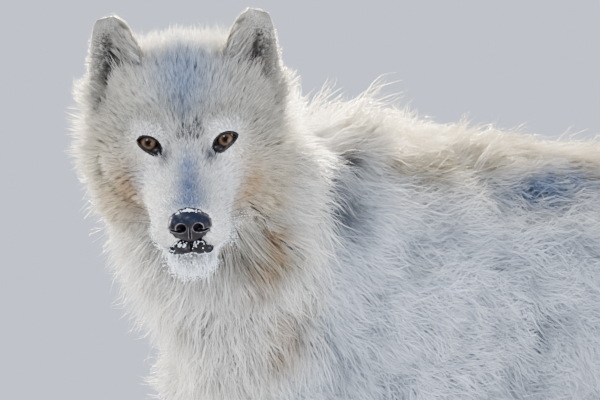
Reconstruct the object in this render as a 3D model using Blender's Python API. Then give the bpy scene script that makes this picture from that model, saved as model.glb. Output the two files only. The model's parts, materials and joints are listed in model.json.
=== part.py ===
"""A standing arctic wolf in its winter coat, as the solids of its named parts.

The trunk faces -Y and the floor is z = 0. The head is turned to the wolf's left. Every outline runs out to
the tips of the coat. Body, limbs and tail are lofted as closed tubes, melted into one skin by a voxel remesh,
and then parted by thin saw cuts. Ears, eyes and nose leather are bodies of their own, let into that skin.
"""

import math

import bmesh
import bpy
from mathutils import Matrix, Vector

# Driving dimensions, in metres.
WITHERS = 0.770  # top of the mane over the shoulders
EYE_HEIGHT = 0.735
EYE_PLACE = Vector((0.182, -0.645, EYE_HEIGHT))  # midway between the eyes
HEAD_TURN, HEAD_DROP, HEAD_TILT = math.radians(50), math.radians(15), math.radians(-3)

GAP = 0.0003  # between neighbouring solids
SAW = 0.0004  # thickness of a parting cut
VOXEL = 0.0052  # fineness of the melted skin
BODY_TRIANGLES = 4900

EYE_SPREAD, EYE_DEPTH, EYE_RISE = 0.0385, -0.0030, 0.0030  # out, back and up from the head's origin
EYE_RADIUS = 0.0120
EYE_SLANT = math.radians(33)  # the outer corner sits higher
NOSE_TIP = -0.135  # along the head, from the eyes
MOUTH_LINE, MOUTH_CORNER = -0.0800, -0.052  # height of the lips, and how far back they part
JAW_REACH = 0.075  # how far the saw cuts of the jaw run past it

FRONT_CUT, HIND_CUT, PAW_CUT = 0.380, 0.432, 0.072  # heights where legs and paws are parted
STRIDE = {"front_left": 0.000, "front_right": 0.035, "hind_left": 0.045, "hind_right": -0.030}

COAT_WHITE = (0.78, 0.76, 0.72)
COAT_CREAM = (0.70, 0.66, 0.58)
LEG_WHITE = (0.80, 0.79, 0.76)
LEATHER_BLACK = (0.020, 0.019, 0.022)
IRIS_AMBER = (0.42, 0.22, 0.06)

HEAD = (
    Matrix.Translation(EYE_PLACE)
    @ Matrix.Rotation(HEAD_TURN, 4, "Z")
    @ Matrix.Rotation(HEAD_DROP, 4, "X")
    @ Matrix.Rotation(HEAD_TILT, 4, "Y")
)  # the head's own frame: origin between the eyes, nose towards -Y, crown towards +Z
UPRIGHT = Matrix.Identity(4)


def clear_scene():
    for old in list(bpy.data.objects):
        bpy.data.objects.remove(old, do_unlink=True)


def finish(name, colour, roughness):
    """A Principled material of one colour."""
    material = bpy.data.materials.new(name)
    material.use_nodes = True
    surface = material.node_tree.nodes["Principled BSDF"]
    surface.inputs["Base Color"].default_value = (*colour, 1)
    surface.inputs["Roughness"].default_value = roughness
    return material


def add_object(name, mesh):
    made = bpy.data.objects.new(name, mesh)
    bpy.context.scene.collection.objects.link(made)
    return made


def mesh_from(builder, name):
    """Runs builder on an empty bmesh and returns the mesh, with its faces pointing out."""
    work = bmesh.new()
    builder(work)
    bmesh.ops.recalc_face_normals(work, faces=work.faces)
    mesh = bpy.data.meshes.new(name)
    work.to_mesh(mesh)
    work.free()
    return mesh


def between(a, b, c, d, t):
    """Catmull-Rom curve from b to c, for t from 0 to 1."""
    return 0.5 * (2 * b + (c - a) * t + (2 * a - 5 * b + 4 * c - d) * t**2 + (3 * b - a - 3 * c + d) * t**3)


def smooth_stations(stations, steps):
    """The stations with that many rings in each span, all sizes following one smooth curve."""
    rows = [Vector(row) for row in stations]
    rows = [2 * rows[0] - rows[1], *rows, 2 * rows[-1] - rows[-2]]
    fine = []
    for i in range(1, len(rows) - 2):
        a, b, c, d = rows[i - 1 : i + 3]
        for step in range(steps):
            fine.append(between(a, b, c, d, step / steps))
    return [*fine, rows[-2]]


def loft(work, stations, front, frame=UPRIGHT, bow=0.0, peak=1.0, steps=4, points=20):
    """A closed tube through stations of (x, y, z, half width, half depth in front, half depth behind).

    front is the direction that "in front" means. bow bends each ring into a crescent, hollow in front.
    peak above 1 draws the front half of each ring in towards a ridge, as a pear is. steps is the number of
    rings in each span, and points how many corners a ring has."""
    rings = []
    fine = smooth_stations(stations, steps)
    for i, row in enumerate(fine):
        ahead, behind = fine[min(i + 1, len(fine) - 1)], fine[max(i - 1, 0)]
        along = (Vector(ahead[:3]) - Vector(behind[:3])).normalized()
        forward = (front - along * front.dot(along)).normalized()
        side = forward.cross(along)
        width, fore, aft = row[3:]
        ring = []
        for k in range(points):
            turn = 2 * math.pi * k / points
            across, out = math.cos(turn), math.sin(turn)
            if out > 0:
                across, out = math.copysign(abs(across) ** peak, across), out**peak
            reach = out * (fore if out > 0 else aft) - bow * (1 - across**2)
            place = Vector(row[:3]) + side * (width * across) + forward * reach
            ring.append(work.verts.new(frame @ place))
        rings.append(ring)
    for one, two in zip(rings, rings[1:]):
        for k in range(points):
            after = (k + 1) % points
            work.faces.new((one[k], one[after], two[after], two[k]))
    for end in (rings[0], rings[-1]):
        work.faces.new(end)


def ball(work, place, size, frame=UPRIGHT, turn=UPRIGHT, segments=16):
    """A closed ellipsoid with half axes size."""
    matrix = frame @ Matrix.Translation(place) @ turn @ Matrix.Diagonal((*size, 1))
    bmesh.ops.create_uvsphere(work, u_segments=segments, v_segments=segments // 2 + 2, radius=1, matrix=matrix)


def block(work, low, high, frame=UPRIGHT):
    """A closed box between two corners."""
    low, high = Vector(low), Vector(high)
    matrix = frame @ Matrix.Translation((low + high) / 2) @ Matrix.Diagonal((*(high - low), 1))
    bmesh.ops.create_cube(work, size=1, matrix=matrix)


# --- The body, as tubes that overlap -------------------------------------------------------------------


def trunk(work):
    """Deep narrow chest, shaggy back line and tucked-up belly, from the breast to the rump."""
    #          y      top    bottom half width
    profile = (
        (-0.522, 0.590, 0.480, 0.030),
        (-0.508, 0.645, 0.425, 0.078),
        (-0.468, 0.700, 0.395, 0.114),
        (-0.392, 0.750, 0.382, 0.136),
        (-0.290, WITHERS, 0.380, 0.147),
        (-0.180, 0.764, 0.384, 0.151),
        (-0.060, 0.751, 0.398, 0.151),
        (0.045, 0.744, 0.424, 0.145),
        (0.125, 0.741, 0.448, 0.139),
        (0.210, 0.747, 0.446, 0.142),
        (0.288, 0.742, 0.454, 0.136),
        (0.353, 0.718, 0.484, 0.112),
        (0.395, 0.688, 0.532, 0.076),
        (0.412, 0.660, 0.576, 0.038),
    )
    rows = [(0, y, (top + low) / 2, wide, (top - low) / 2, (top - low) / 2) for y, top, low, wide in profile]
    loft(work, rows, Vector((0, 0, 1)))


def neck(work):
    """Thick ruff that swings from the shoulders out to the turned head."""
    stations = (
        (0.000, -0.270, 0.600, 0.110, 0.150, 0.150),
        (0.008, -0.350, 0.620, 0.127, 0.158, 0.190),
        (0.028, -0.430, 0.648, 0.130, 0.140, 0.205),
        (0.061, -0.497, 0.678, 0.128, 0.127, 0.185),
        (0.096, -0.552, 0.700, 0.123, 0.123, 0.155),
        (0.122, -0.596, 0.712, 0.100, 0.105, 0.120),
        (0.140, -0.620, 0.715, 0.062, 0.070, 0.072),
    )
    loft(work, stations, Vector((0, 0, 1)))


def skull(work):
    """Broad crown and cheek ruff that taper through the stop into the muzzle, in the head's frame."""
    #          y       z      half width, up,   down
    profile = (
        (0.152, 0.000, 0.045, 0.050, 0.050),
        (0.132, 0.000, 0.085, 0.086, 0.092),
        (0.102, -0.004, 0.109, 0.112, 0.116),
        (0.066, -0.012, 0.123, 0.124, 0.118),
        (0.036, -0.018, 0.126, 0.116, 0.108),
        (0.012, -0.023, 0.113, 0.098, 0.094),
        (-0.008, -0.026, 0.089, 0.070, 0.078),
        (-0.026, -0.031, 0.065, 0.046, 0.066),
        (-0.046, -0.037, 0.053, 0.033, 0.057),
        (-0.072, -0.044, 0.0470, 0.029, 0.052),
        (-0.100, -0.049, 0.0415, 0.027, 0.048),
        (-0.118, -0.053, 0.0335, 0.023, 0.043),
        (-0.127, -0.057, 0.0200, 0.015, 0.030),
    )
    rows = [(0, y, z, wide, up, down) for y, z, wide, up, down in profile]
    loft(work, rows, Vector((0, 0, 1)), HEAD, peak=1.35)


def face_forms(work):
    """Brow ridges, cheekbones, lip pads and chin, laid over the skull loft."""
    for side in (-1, 1):
        ball(work, (side * 0.034, 0.012, 0.026), (0.032, 0.034, 0.026), HEAD)
        ball(work, (side * 0.064, 0.016, -0.014), (0.034, 0.036, 0.032), HEAD)
        ball(work, (side * 0.0210, -0.094, -0.060), (0.0215, 0.033, 0.022), HEAD)
    ball(work, (0, -0.086, -0.089), (0.029, 0.034, 0.021), HEAD)


def leg_stations(place):
    """Stations from inside the trunk down to the foot, for one leg."""
    upright = place.split("_")[0]
    side = 1 if place.endswith("left") else -1
    #        out    y       z      half width, fore, aft
    front = (
        (0.070, -0.275, 0.560, 0.060, 0.080, 0.080),
        (0.080, -0.262, 0.480, 0.059, 0.074, 0.076),
        (0.085, -0.252, 0.405, 0.047, 0.056, 0.064),
        (0.086, -0.254, 0.330, 0.037, 0.041, 0.050),
        (0.086, -0.262, 0.250, 0.031, 0.034, 0.039),
        (0.086, -0.269, 0.180, 0.0295, 0.034, 0.034),
        (0.086, -0.276, 0.120, 0.0265, 0.029, 0.030),
        (0.087, -0.290, 0.068, 0.0310, 0.034, 0.034),
        (0.088, -0.300, 0.034, 0.0360, 0.038, 0.038),
    )
    hind = (
        (0.064, 0.225, 0.620, 0.064, 0.110, 0.115),
        (0.076, 0.196, 0.520, 0.067, 0.110, 0.120),
        (0.084, 0.174, 0.435, 0.058, 0.086, 0.108),
        (0.088, 0.200, 0.352, 0.043, 0.055, 0.070),
        (0.087, 0.260, 0.275, 0.032, 0.037, 0.043),
        (0.086, 0.298, 0.222, 0.0275, 0.029, 0.033),
        (0.086, 0.298, 0.160, 0.0255, 0.027, 0.029),
        (0.086, 0.286, 0.095, 0.0265, 0.028, 0.030),
        (0.087, 0.268, 0.052, 0.0320, 0.036, 0.034),
        (0.087, 0.258, 0.030, 0.0340, 0.036, 0.034),
    )
    rows = front if upright == "front" else hind
    top = rows[0][2]
    return [(side * x, y + STRIDE[place] * (top - z) / top, z, *sizes) for x, y, z, *sizes in rows]


def leg(work, place):
    """One leg with its broad snow-shoe paw: a pad, four toes and the claw tips at the front of them."""
    stations = leg_stations(place)
    loft(work, stations, Vector((0, -1, 0)))
    x, y, _ = stations[-1][:3]
    paw_scale = 1.0 if place.startswith("front") else 0.92
    ball(work, (x, y - 0.012, 0.026), (0.043 * paw_scale, 0.050, 0.034))
    for across, ahead in ((-0.0315, 0.046), (-0.0115, 0.062), (0.0115, 0.062), (0.0315, 0.046)):
        across, ahead = across * paw_scale, ahead * paw_scale
        ball(work, (x + across, y - ahead, 0.019), (0.0140, 0.0270, 0.0220))
        ball(work, (x + across * 1.06, y - ahead - 0.027, 0.011), (0.0050, 0.0120, 0.0060))


def tail(work):
    """Full brush that hangs relaxed behind the hocks."""
    stations = (
        (0.000, 0.320, 0.664, 0.052, 0.052, 0.052),
        (0.002, 0.396, 0.650, 0.055, 0.054, 0.055),
        (0.005, 0.454, 0.600, 0.058, 0.056, 0.057),
        (0.009, 0.488, 0.525, 0.061, 0.057, 0.060),
        (0.013, 0.499, 0.440, 0.061, 0.057, 0.061),
        (0.017, 0.499, 0.360, 0.054, 0.051, 0.054),
        (0.020, 0.493, 0.297, 0.037, 0.035, 0.037),
        (0.021, 0.488, 0.262, 0.012, 0.012, 0.012),
    )
    loft(work, stations, Vector((0, 1, 0)))


def melted_body():
    """All tubes in one closed skin, smoothed and thinned to BODY_TRIANGLES."""

    def all_tubes(work):
        trunk(work)
        neck(work)
        skull(work)
        face_forms(work)
        tail(work)
        for place in STRIDE:
            leg(work, place)

    rough = add_object("rough_body", mesh_from(all_tubes, "rough_body"))
    remesh = rough.modifiers.new("melt", "REMESH")
    remesh.mode = "VOXEL"
    remesh.voxel_size = VOXEL
    relax = rough.modifiers.new("relax", "SMOOTH")
    relax.factor = 0.5
    relax.iterations = 5
    faces = evaluated_mesh(rough)
    faces.calc_loop_triangles()
    thin = rough.modifiers.new("thin", "DECIMATE")
    thin.ratio = BODY_TRIANGLES / len(faces.loop_triangles)
    body = evaluated_mesh(rough)
    bpy.data.objects.remove(rough, do_unlink=True)
    return body


def evaluated_mesh(made):
    """The object's mesh with its modifiers applied."""
    bpy.context.view_layer.update()
    graph = bpy.context.evaluated_depsgraph_get()
    return bpy.data.meshes.new_from_object(made.evaluated_get(graph))


# --- Pieces let into the skin --------------------------------------------------------------------------


def nose_leather(work):
    """Blunt rounded pad, wider above than at the lip."""
    profile = (
        (-0.112, -0.0500, 0.0150, 0.0120, 0.0130),
        (-0.118, -0.0505, 0.0205, 0.0160, 0.0180),
        (-0.126, -0.0515, 0.0218, 0.0160, 0.0195),
        (-0.132, -0.0525, 0.0195, 0.0138, 0.0180),
        (NOSE_TIP, -0.0535, 0.0120, 0.0075, 0.0110),
    )
    rows = [(0, y, z, wide, up, down) for y, z, wide, up, down in profile]
    loft(work, rows, Vector((0, 0, 1)), HEAD, steps=2, points=16)


def nostrils(work):
    """Two comma-shaped hollows in the front of the nose."""
    for side in (-1, 1):
        turn = Matrix.Rotation(side * math.radians(35), 4, "Z")
        ball(work, (side * 0.0100, NOSE_TIP + 0.001, -0.0540), (0.0042, 0.0070, 0.0036), HEAD, turn, 10)


def ear(work, side):
    """Rounded thick-furred ear, hollow in front, opening forwards and a little outwards."""
    #            x      y      z      half width, fore, aft
    stations = (
        (0.066, 0.042, 0.010, 0.026, 0.016, 0.016),
        (0.067, 0.046, 0.036, 0.0335, 0.013, 0.013),
        (0.067, 0.050, 0.062, 0.0340, 0.010, 0.011),
        (0.0695, 0.055, 0.087, 0.0290, 0.008, 0.010),
        (0.073, 0.059, 0.107, 0.0200, 0.006, 0.008),
        (0.0755, 0.061, 0.1195, 0.0080, 0.004, 0.005),
    )
    rows = [(side * x, y, z, *sizes) for x, y, z, *sizes in stations]
    loft(work, rows, Vector((side * 0.42, -1, 0)), HEAD, bow=0.014, steps=2)


def eye_centre(side):
    return Vector((side * EYE_SPREAD, EYE_DEPTH, EYE_RISE))


def eyeball(work, side, margin=0.0):
    radius = EYE_RADIUS + margin
    ball(work, eye_centre(side), (radius, radius, radius), HEAD, segments=12)


def lid_opening(work, side):
    """Slanting almond hollow that the fur leaves in front of an eye."""
    slant = Matrix.Rotation(-side * EYE_SLANT, 4, "Y")
    ball(work, (side * (EYE_SPREAD + 0.001), -0.018, EYE_RISE), (0.0155, 0.018, 0.0088), HEAD, slant, 14)


# --- Parting -------------------------------------------------------------------------------------------


def helper(name, builder):
    """A closed mesh that only cuts others."""
    tool = add_object(name, mesh_from(builder, name))
    tool.hide_render = True
    tool.display_type = "WIRE"
    return tool


def cut(target, tool):
    """Takes tool away from target."""
    step = target.modifiers.new("cut_" + tool.name, "BOOLEAN")
    step.operation = "DIFFERENCE"
    step.object = tool


def saw_plane(place, normal, reach):
    """Builder of a thin square saw cut through place, facing normal, reaching that far each way."""
    turn = Vector(normal).to_track_quat("Z", "Y").to_matrix().to_4x4()
    frame = Matrix.Translation(place) @ turn
    return lambda work: block(work, (-reach, -reach, -SAW / 2), (reach, reach, SAW / 2), frame)


def mouth_cut(work):
    """Saw cut along the lips."""
    low = (-JAW_REACH, NOSE_TIP - JAW_REACH, MOUTH_LINE - SAW / 2)
    block(work, low, (JAW_REACH, MOUTH_CORNER, MOUTH_LINE + SAW / 2), HEAD)


def jaw_cut(work):
    """Saw cut across the jaw at the corners of the mouth, meeting the cut along the lips."""
    low = (-JAW_REACH, MOUTH_CORNER - SAW, MOUTH_LINE - JAW_REACH)
    block(work, low, (JAW_REACH, MOUTH_CORNER, MOUTH_LINE + SAW / 2), HEAD)


def floor_cut(work):
    """Everything below the floor, so that each paw stands on a small flat."""
    block(work, (-0.5, -1.0, -0.2), (0.5, 1.0, 0.0))


def level_cut(height, low_y, high_y):
    """Builder of a level saw cut between two places along the body."""
    return lambda work: block(work, (-0.3, low_y, height - SAW / 2), (0.3, high_y, height + SAW / 2))


def parting_tools():
    head_back = HEAD @ Vector((0, 0.098, -0.010))
    head_normal = HEAD.to_3x3() @ Vector((0, 1, -0.42))
    tools = {
        "under_floor": floor_cut,
        "saw_head": saw_plane(head_back, head_normal, 0.23),
        "saw_neck": saw_plane(Vector((0.012, -0.385, 0.63)), Vector((-0.16, 1, -0.45)), 0.30),
        "saw_tail": saw_plane(Vector((0.004, 0.430, 0.630)), Vector((0, -1, 0.16)), 0.150),
        "saw_mouth": mouth_cut,
        "saw_jaw": jaw_cut,
        "saw_front_legs": level_cut(FRONT_CUT, -0.60, 0.00),
        "saw_hind_legs": level_cut(HIND_CUT, 0.04, 0.40),
        "saw_paws": level_cut(PAW_CUT, -0.60, 0.50),
    }
    return [helper(name, builder) for name, builder in tools.items()]


def islands(mesh):
    """The separate closed bodies of a mesh, as lists of face indices."""
    work = bmesh.new()
    work.from_mesh(mesh)
    left, found = set(work.faces), []
    while left:
        group, edge = [], [left.pop()]
        while edge:
            face = edge.pop()
            group.append(face.index)
            for loop in face.loops:
                for near in loop.edge.link_faces:
                    if near in left:
                        left.remove(near)
                        edge.append(near)
        found.append(group)
    work.free()
    return found


def island_mesh(mesh, group, name):
    """A mesh of its own for one island."""
    work = bmesh.new()
    work.from_mesh(mesh)
    keep = set(group)
    bmesh.ops.delete(work, geom=[f for f in work.faces if f.index not in keep], context="FACES")
    bmesh.ops.triangulate(work, faces=work.faces)
    made = bpy.data.meshes.new(name)
    work.to_mesh(made)
    work.free()
    return made


def part_seeds():
    """A point well inside each part, by the part's name."""
    seeds = {
        "head": HEAD @ Vector((0, 0.04, -0.02)),
        "lower_jaw": HEAD @ Vector((0, -0.088, -0.092)),
        "neck": Vector((0.05, -0.48, 0.66)),
        "trunk": Vector((0, 0.0, 0.58)),
        "tail": Vector((0.01, 0.49, 0.46)),
    }
    for place in STRIDE:
        rows = leg_stations(place)
        seeds["leg_" + place] = Vector(rows[4][:3])
        seeds["paw_" + place] = Vector(rows[-1][:3]) + Vector((0, -0.01, 0))
    return seeds


def centre_of(mesh, group):
    corners = [mesh.vertices[v].co for face in group for v in mesh.polygons[face].vertices]
    low = Vector(min(c[axis] for c in corners) for axis in range(3))
    high = Vector(max(c[axis] for c in corners) for axis in range(3))
    return (low + high) / 2


def part_body(body):
    """Cuts the melted body and returns {part name: object}."""
    whole = add_object("whole_body", body)
    tools = parting_tools()
    for side, word in ((1, "left"), (-1, "right")):
        tools.append(helper("socket_" + word, lambda work, side=side: eyeball(work, side, GAP)))
        tools.append(helper("lids_" + word, lambda work, side=side: lid_opening(work, side)))
    for tool in tools:
        cut(whole, tool)
    cut(whole, swollen("nose_seat", mesh_from(nose_leather, "nose_seat")))
    carved = evaluated_mesh(whole)
    bpy.data.objects.remove(whole, do_unlink=True)
    groups = [group for group in islands(carved) if len(group) > 40]
    parts = {}
    for name, seed in part_seeds().items():
        group = min(groups, key=lambda g: (centre_of(carved, g) - seed).length)
        groups.remove(group)
        parts[name] = add_object(name, island_mesh(carved, group, name))
    return parts


def swollen(name, mesh, by=GAP):
    """A cutter that is this mesh, grown by a hair so that what it seats keeps a gap."""
    tool = add_object(name, mesh)
    tool.hide_render = True
    tool.display_type = "WIRE"
    grow = tool.modifiers.new("grow", "DISPLACE")
    grow.mid_level = 0.0
    grow.strength = by
    return tool


def make_ears(head):
    """Each ear is trimmed where it meets the head."""
    seat = swollen("head_seat", head.data.copy())
    ears = []
    for side, word in ((1, "left"), (-1, "right")):
        pinna = add_object("ear_" + word, mesh_from(lambda work, side=side: ear(work, side), "ear_" + word))
        cut(pinna, seat)
        ears.append(pinna)
    return ears


def stand_over_origin(parts):
    """Moves everything so that the middle of the whole box's floor is the origin."""
    bpy.context.view_layer.update()
    corners = [made.matrix_world @ Vector(c) for made in parts for c in made.bound_box]
    low = [min(c[axis] for c in corners) for axis in range(3)]
    high = [max(c[axis] for c in corners) for axis in range(3)]
    shift = Vector((-(low[0] + high[0]) / 2, -(low[1] + high[1]) / 2, 0))
    for made in bpy.data.objects:
        made.location += shift


def main():
    clear_scene()
    parts = part_body(melted_body())
    ears = make_ears(parts["head"])
    coats = {
        "white": finish("winter coat", COAT_WHITE, 0.9),
        "cream": finish("mane and back coat", COAT_CREAM, 0.9),
        "leg": finish("short leg coat", LEG_WHITE, 0.85),
    }
    for name, made in parts.items():
        kind = "leg" if name.startswith(("leg", "paw")) else "white"
        kind = "cream" if name in ("trunk", "neck", "tail") else kind
        made.data.materials.append(coats[kind])
    for pinna in ears:
        pinna.data.materials.append(coats["white"])
    nose = add_object("nose", mesh_from(nose_leather, "nose"))
    cut(nose, helper("nostrils", nostrils))
    nose.data.materials.append(finish("nose leather", LEATHER_BLACK, 0.35))
    amber = finish("amber eye", IRIS_AMBER, 0.08)
    for side, word in ((1, "left"), (-1, "right")):
        globe = add_object("eye_" + word, mesh_from(lambda work, side=side: eyeball(work, side), "eye_" + word))
        globe.data.materials.append(amber)
    shown = [made for made in bpy.data.objects if not made.hide_render]
    for made in shown:
        made.data.shade_smooth()
    stand_over_origin(shown)


main()
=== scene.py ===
# %% [markdown]
# # An arctic wolf in winter coat
# The wolf stands still with its head turned to its left, as a museum model does. The solids in the frame run
# out to the tips of the coat. So the real animal is made in layers: a lean skin that lies inside the solids by
# the depth of the coat, then eyes, nose, lips and claws as pieces of their own, and last the coat itself, as
# many thousands of thin curved blades of mesh that stand in tufts along the lie of the hair.

# %% Load the frame
import functools
import json
import math

import bmesh
import bpy
import numpy as np
from mathutils import Matrix, Vector, noise
from mathutils.bvhtree import BVHTree

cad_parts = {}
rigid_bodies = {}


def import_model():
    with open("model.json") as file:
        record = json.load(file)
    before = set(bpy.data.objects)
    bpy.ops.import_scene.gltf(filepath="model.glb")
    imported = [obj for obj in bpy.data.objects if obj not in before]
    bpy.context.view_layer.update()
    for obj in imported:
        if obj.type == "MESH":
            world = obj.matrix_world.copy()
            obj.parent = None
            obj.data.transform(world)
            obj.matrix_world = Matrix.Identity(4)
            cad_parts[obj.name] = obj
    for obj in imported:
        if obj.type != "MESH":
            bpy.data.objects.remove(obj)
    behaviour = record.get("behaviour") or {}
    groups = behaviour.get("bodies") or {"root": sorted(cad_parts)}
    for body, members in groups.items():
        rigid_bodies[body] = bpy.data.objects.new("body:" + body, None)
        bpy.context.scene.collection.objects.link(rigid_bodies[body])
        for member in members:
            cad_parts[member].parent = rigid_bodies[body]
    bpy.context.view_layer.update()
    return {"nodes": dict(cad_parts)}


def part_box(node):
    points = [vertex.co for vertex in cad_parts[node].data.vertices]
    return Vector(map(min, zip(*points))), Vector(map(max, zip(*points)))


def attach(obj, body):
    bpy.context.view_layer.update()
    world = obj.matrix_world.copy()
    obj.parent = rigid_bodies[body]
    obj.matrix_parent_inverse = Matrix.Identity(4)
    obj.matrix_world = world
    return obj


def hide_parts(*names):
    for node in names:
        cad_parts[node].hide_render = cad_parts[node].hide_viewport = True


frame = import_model()

# %% [markdown]
# ## The head's own frame
# Most of the face is easier to place from a point between the eyes, with the nose towards -Y and the crown
# towards +Z. The eye solids give that point, and the three angles are the ones the head was set at.

# %% Head frame
MM = 0.001
SIDES = ((1, "left"), (-1, "right"))
HEAD_TURN, HEAD_DROP, HEAD_TILT = math.radians(51), math.radians(15), math.radians(-3)
LOOK_TURN = math.radians(50)  # the wolf looks level, in this direction
EYE_SPREAD, EYE_DEPTH, EYE_RISE = 38.5 * MM, -3.0 * MM, 3.0 * MM  # of an eyeball's centre in that frame


def middle(node):
    low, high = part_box(node)
    return (low + high) / 2


def turned(out, up, roll):
    """Turned about the upright axis, then upwards, then about its own length."""
    return Matrix.Rotation(out, 4, "Z") @ Matrix.Rotation(up, 4, "X") @ Matrix.Rotation(roll, 4, "Y")


head_turning = turned(HEAD_TURN, HEAD_DROP, HEAD_TILT)
eye_middle = (middle("eye_left") + middle("eye_right")) / 2
HEAD = Matrix.Translation(eye_middle) @ head_turning @ Matrix.Translation((0, -EYE_DEPTH, -EYE_RISE))
print("eyes are", round((middle("eye_left") - middle("eye_right")).length / MM, 1), "mm apart")

# %% [markdown]
# ## Closed forms to sculpt with
# Muscle and bone are modelled as clay is: closed tubes and balls are pressed together, and a voxel remesh
# melts them into one surface. A tube runs through stations that give its middle and its half width, its
# height above and its depth below. A pear-shaped ring, narrower above, suits a skull.

# %% Tubes, balls and melting


def between(a, b, c, d, t):
    """Catmull-Rom curve from b to c."""
    return 0.5 * (2 * b + (c - a) * t + (2 * a - 5 * b + 4 * c - d) * t**2 + (3 * b - a - 3 * c + d) * t**3)


def smooth_row(rows, steps):
    """Rows of numbers with a curve drawn through them, steps rows to each old one."""
    rows = np.array(rows, float)
    rows = np.vstack([2 * rows[0] - rows[1], rows, 2 * rows[-1] - rows[-2]])
    fine = [between(*rows[i - 1 : i + 3], s / steps) for i in range(1, len(rows) - 2) for s in range(steps)]
    return np.array(fine + [rows[-2]])


def skin_over(work, rings, closed=False):
    """Faces from each ring of corners to the next. An open row of rings gets its two ends filled."""
    following = rings[1:] + rings[:1] if closed else rings[1:]
    for one, two in zip(rings, following):
        for k in range(len(one)):
            after = (k + 1) % len(one)
            work.faces.new((one[k], one[after], two[after], two[k]))
    if not closed:
        work.faces.new(rings[0])
        work.faces.new(rings[-1])


def tube(work, stations, front, place=Matrix.Identity(4), bow=0.0, peak=1.0, points=40):
    """A closed tube through stations of (x, y, z, half width, depth towards front, depth behind)."""
    fine = smooth_row(stations, 5)
    rings = []
    for i, row in enumerate(fine):
        ahead, behind = fine[min(i + 1, len(fine) - 1)], fine[max(i - 1, 0)]
        along = (Vector(ahead[:3]) - Vector(behind[:3])).normalized()
        forward = (front - along * front.dot(along)).normalized()
        side = forward.cross(along)
        width, fore, aft = row[3:]
        ring = []
        for k in range(points):
            turn = 2 * math.pi * k / points
            across, out = math.cos(turn), math.sin(turn)
            if out > 0:
                across, out = math.copysign(abs(across) ** peak, across), out**peak
            reach = out * (fore if out > 0 else aft) - bow * (1 - across**2)
            ring.append(work.verts.new(place @ (Vector(row[:3]) + side * width * across + forward * reach)))
        rings.append(ring)
    skin_over(work, rings)


def ball(work, spot, size, place=Matrix.Identity(4), turn=Matrix.Identity(4), segments=28):
    """A closed ellipsoid with half axes size."""
    matrix = place @ Matrix.Translation(spot) @ turn @ Matrix.Diagonal((*size, 1))
    bmesh.ops.create_uvsphere(work, u_segments=segments, v_segments=segments // 2, radius=1, matrix=matrix)


def mesh_of(builder, name):
    """Runs builder on an empty bmesh and returns the mesh, faces out."""
    work = bmesh.new()
    builder(work)
    bmesh.ops.recalc_face_normals(work, faces=work.faces)
    mesh = bpy.data.meshes.new(name)
    work.to_mesh(mesh)
    work.free()
    return mesh


def add_piece(name, mesh):
    """A new object, at the origin, with its place in its mesh."""
    piece = bpy.data.objects.new(name, mesh)
    bpy.context.scene.collection.objects.link(piece)
    return piece


def settled(piece):
    """The piece's mesh with its modifiers applied, which are then removed."""
    graph = bpy.context.evaluated_depsgraph_get()
    mesh = bpy.data.meshes.new_from_object(piece.evaluated_get(graph))
    piece.modifiers.clear()
    piece.data = mesh
    return mesh


def melt(piece, voxel, relax):
    """One closed surface from all that overlaps, with its steps rubbed down."""
    fuse = piece.modifiers.new("fuse", "REMESH")
    fuse.mode = "VOXEL"
    fuse.voxel_size = voxel
    smooth = piece.modifiers.new("relax", "SMOOTH")
    smooth.factor = 0.5
    smooth.iterations = relax
    return settled(piece)


def join_or_cut(piece, other, operation="DIFFERENCE"):
    """The piece with another closed mesh cut away, or joined to it with UNION."""
    tool = add_piece("tool", other)
    change = piece.modifiers.new("change", "BOOLEAN")
    change.operation = operation
    change.object = tool
    mesh = settled(piece)
    bpy.data.objects.remove(tool)
    return mesh


# %% [markdown]
# ## The lean body
# Under a deep winter coat a wolf is narrow. Its skin could be modelled afresh, but then the coat's depth
# would be left to chance. Here the solids of neck, trunk, legs and tail are melted together, and the surface
# sinks inwards along its own normals, a little at a time with some smoothing, by the depth that the coat has
# at each place. The steps keep the surface from crossing itself in the groins and at the tail.

# %% Arrays of a mesh


def corners_of(mesh):
    spots = np.empty(len(mesh.vertices) * 3, np.float32)
    mesh.vertices.foreach_get("co", spots)
    return spots.reshape(-1, 3).astype(float)


def normals_of(mesh):
    facing = np.empty(len(mesh.vertices) * 3, np.float32)
    mesh.vertex_normals.foreach_get("vector", facing)
    return facing.reshape(-1, 3).astype(float)


def edges_of(mesh):
    pairs = np.empty(len(mesh.edges) * 2, np.int32)
    mesh.edges.foreach_get("vertices", pairs)
    return pairs.reshape(-1, 2)


def move_to(piece, spots):
    piece.data.vertices.foreach_set("co", spots.ravel().astype(np.float32))
    piece.data.update()


def store(mesh, name, values, kind="FLOAT"):
    """Keeps one number, or one vector, per vertex under that name."""
    layer = mesh.attributes.new(name, kind, "POINT")
    layer.data.foreach_set("value" if kind == "FLOAT" else "vector", np.asarray(values, np.float32).ravel())


def spread(values, pairs, rounds):
    """Each vertex takes the mean of its neighbours, that many times."""
    values = values.astype(float)
    columns = values.reshape(len(values), -1)
    degree = np.maximum(np.bincount(pairs.ravel(), minlength=len(values)), 1)
    for _ in range(rounds):
        mean = np.empty_like(columns)
        for c in range(columns.shape[1]):
            one = np.bincount(pairs[:, 0], columns[pairs[:, 1], c], minlength=len(values))
            two = np.bincount(pairs[:, 1], columns[pairs[:, 0], c], minlength=len(values))
            mean[:, c] = (one + two) / degree
        columns = 0.5 * columns + 0.5 * mean
    return columns.reshape(values.shape)


def ramp(value, low, high):
    """0 below low and 1 above high, smooth between them. low may be the larger one."""
    t = np.clip((value - low) / (high - low), 0, 1)
    return t * t * (3 - 2 * t)


def fade(*offsets):
    """1 where every offset is 0, falling off as a bell does. Offsets are in half widths."""
    return np.exp(-sum(offset**2 for offset in offsets))


def clumps(spots, scale):
    """A slow noise over places in metres: clumps are about 1 / scale across."""
    return np.array([noise.noise(Vector(spot) * scale) for spot in spots])


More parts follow.
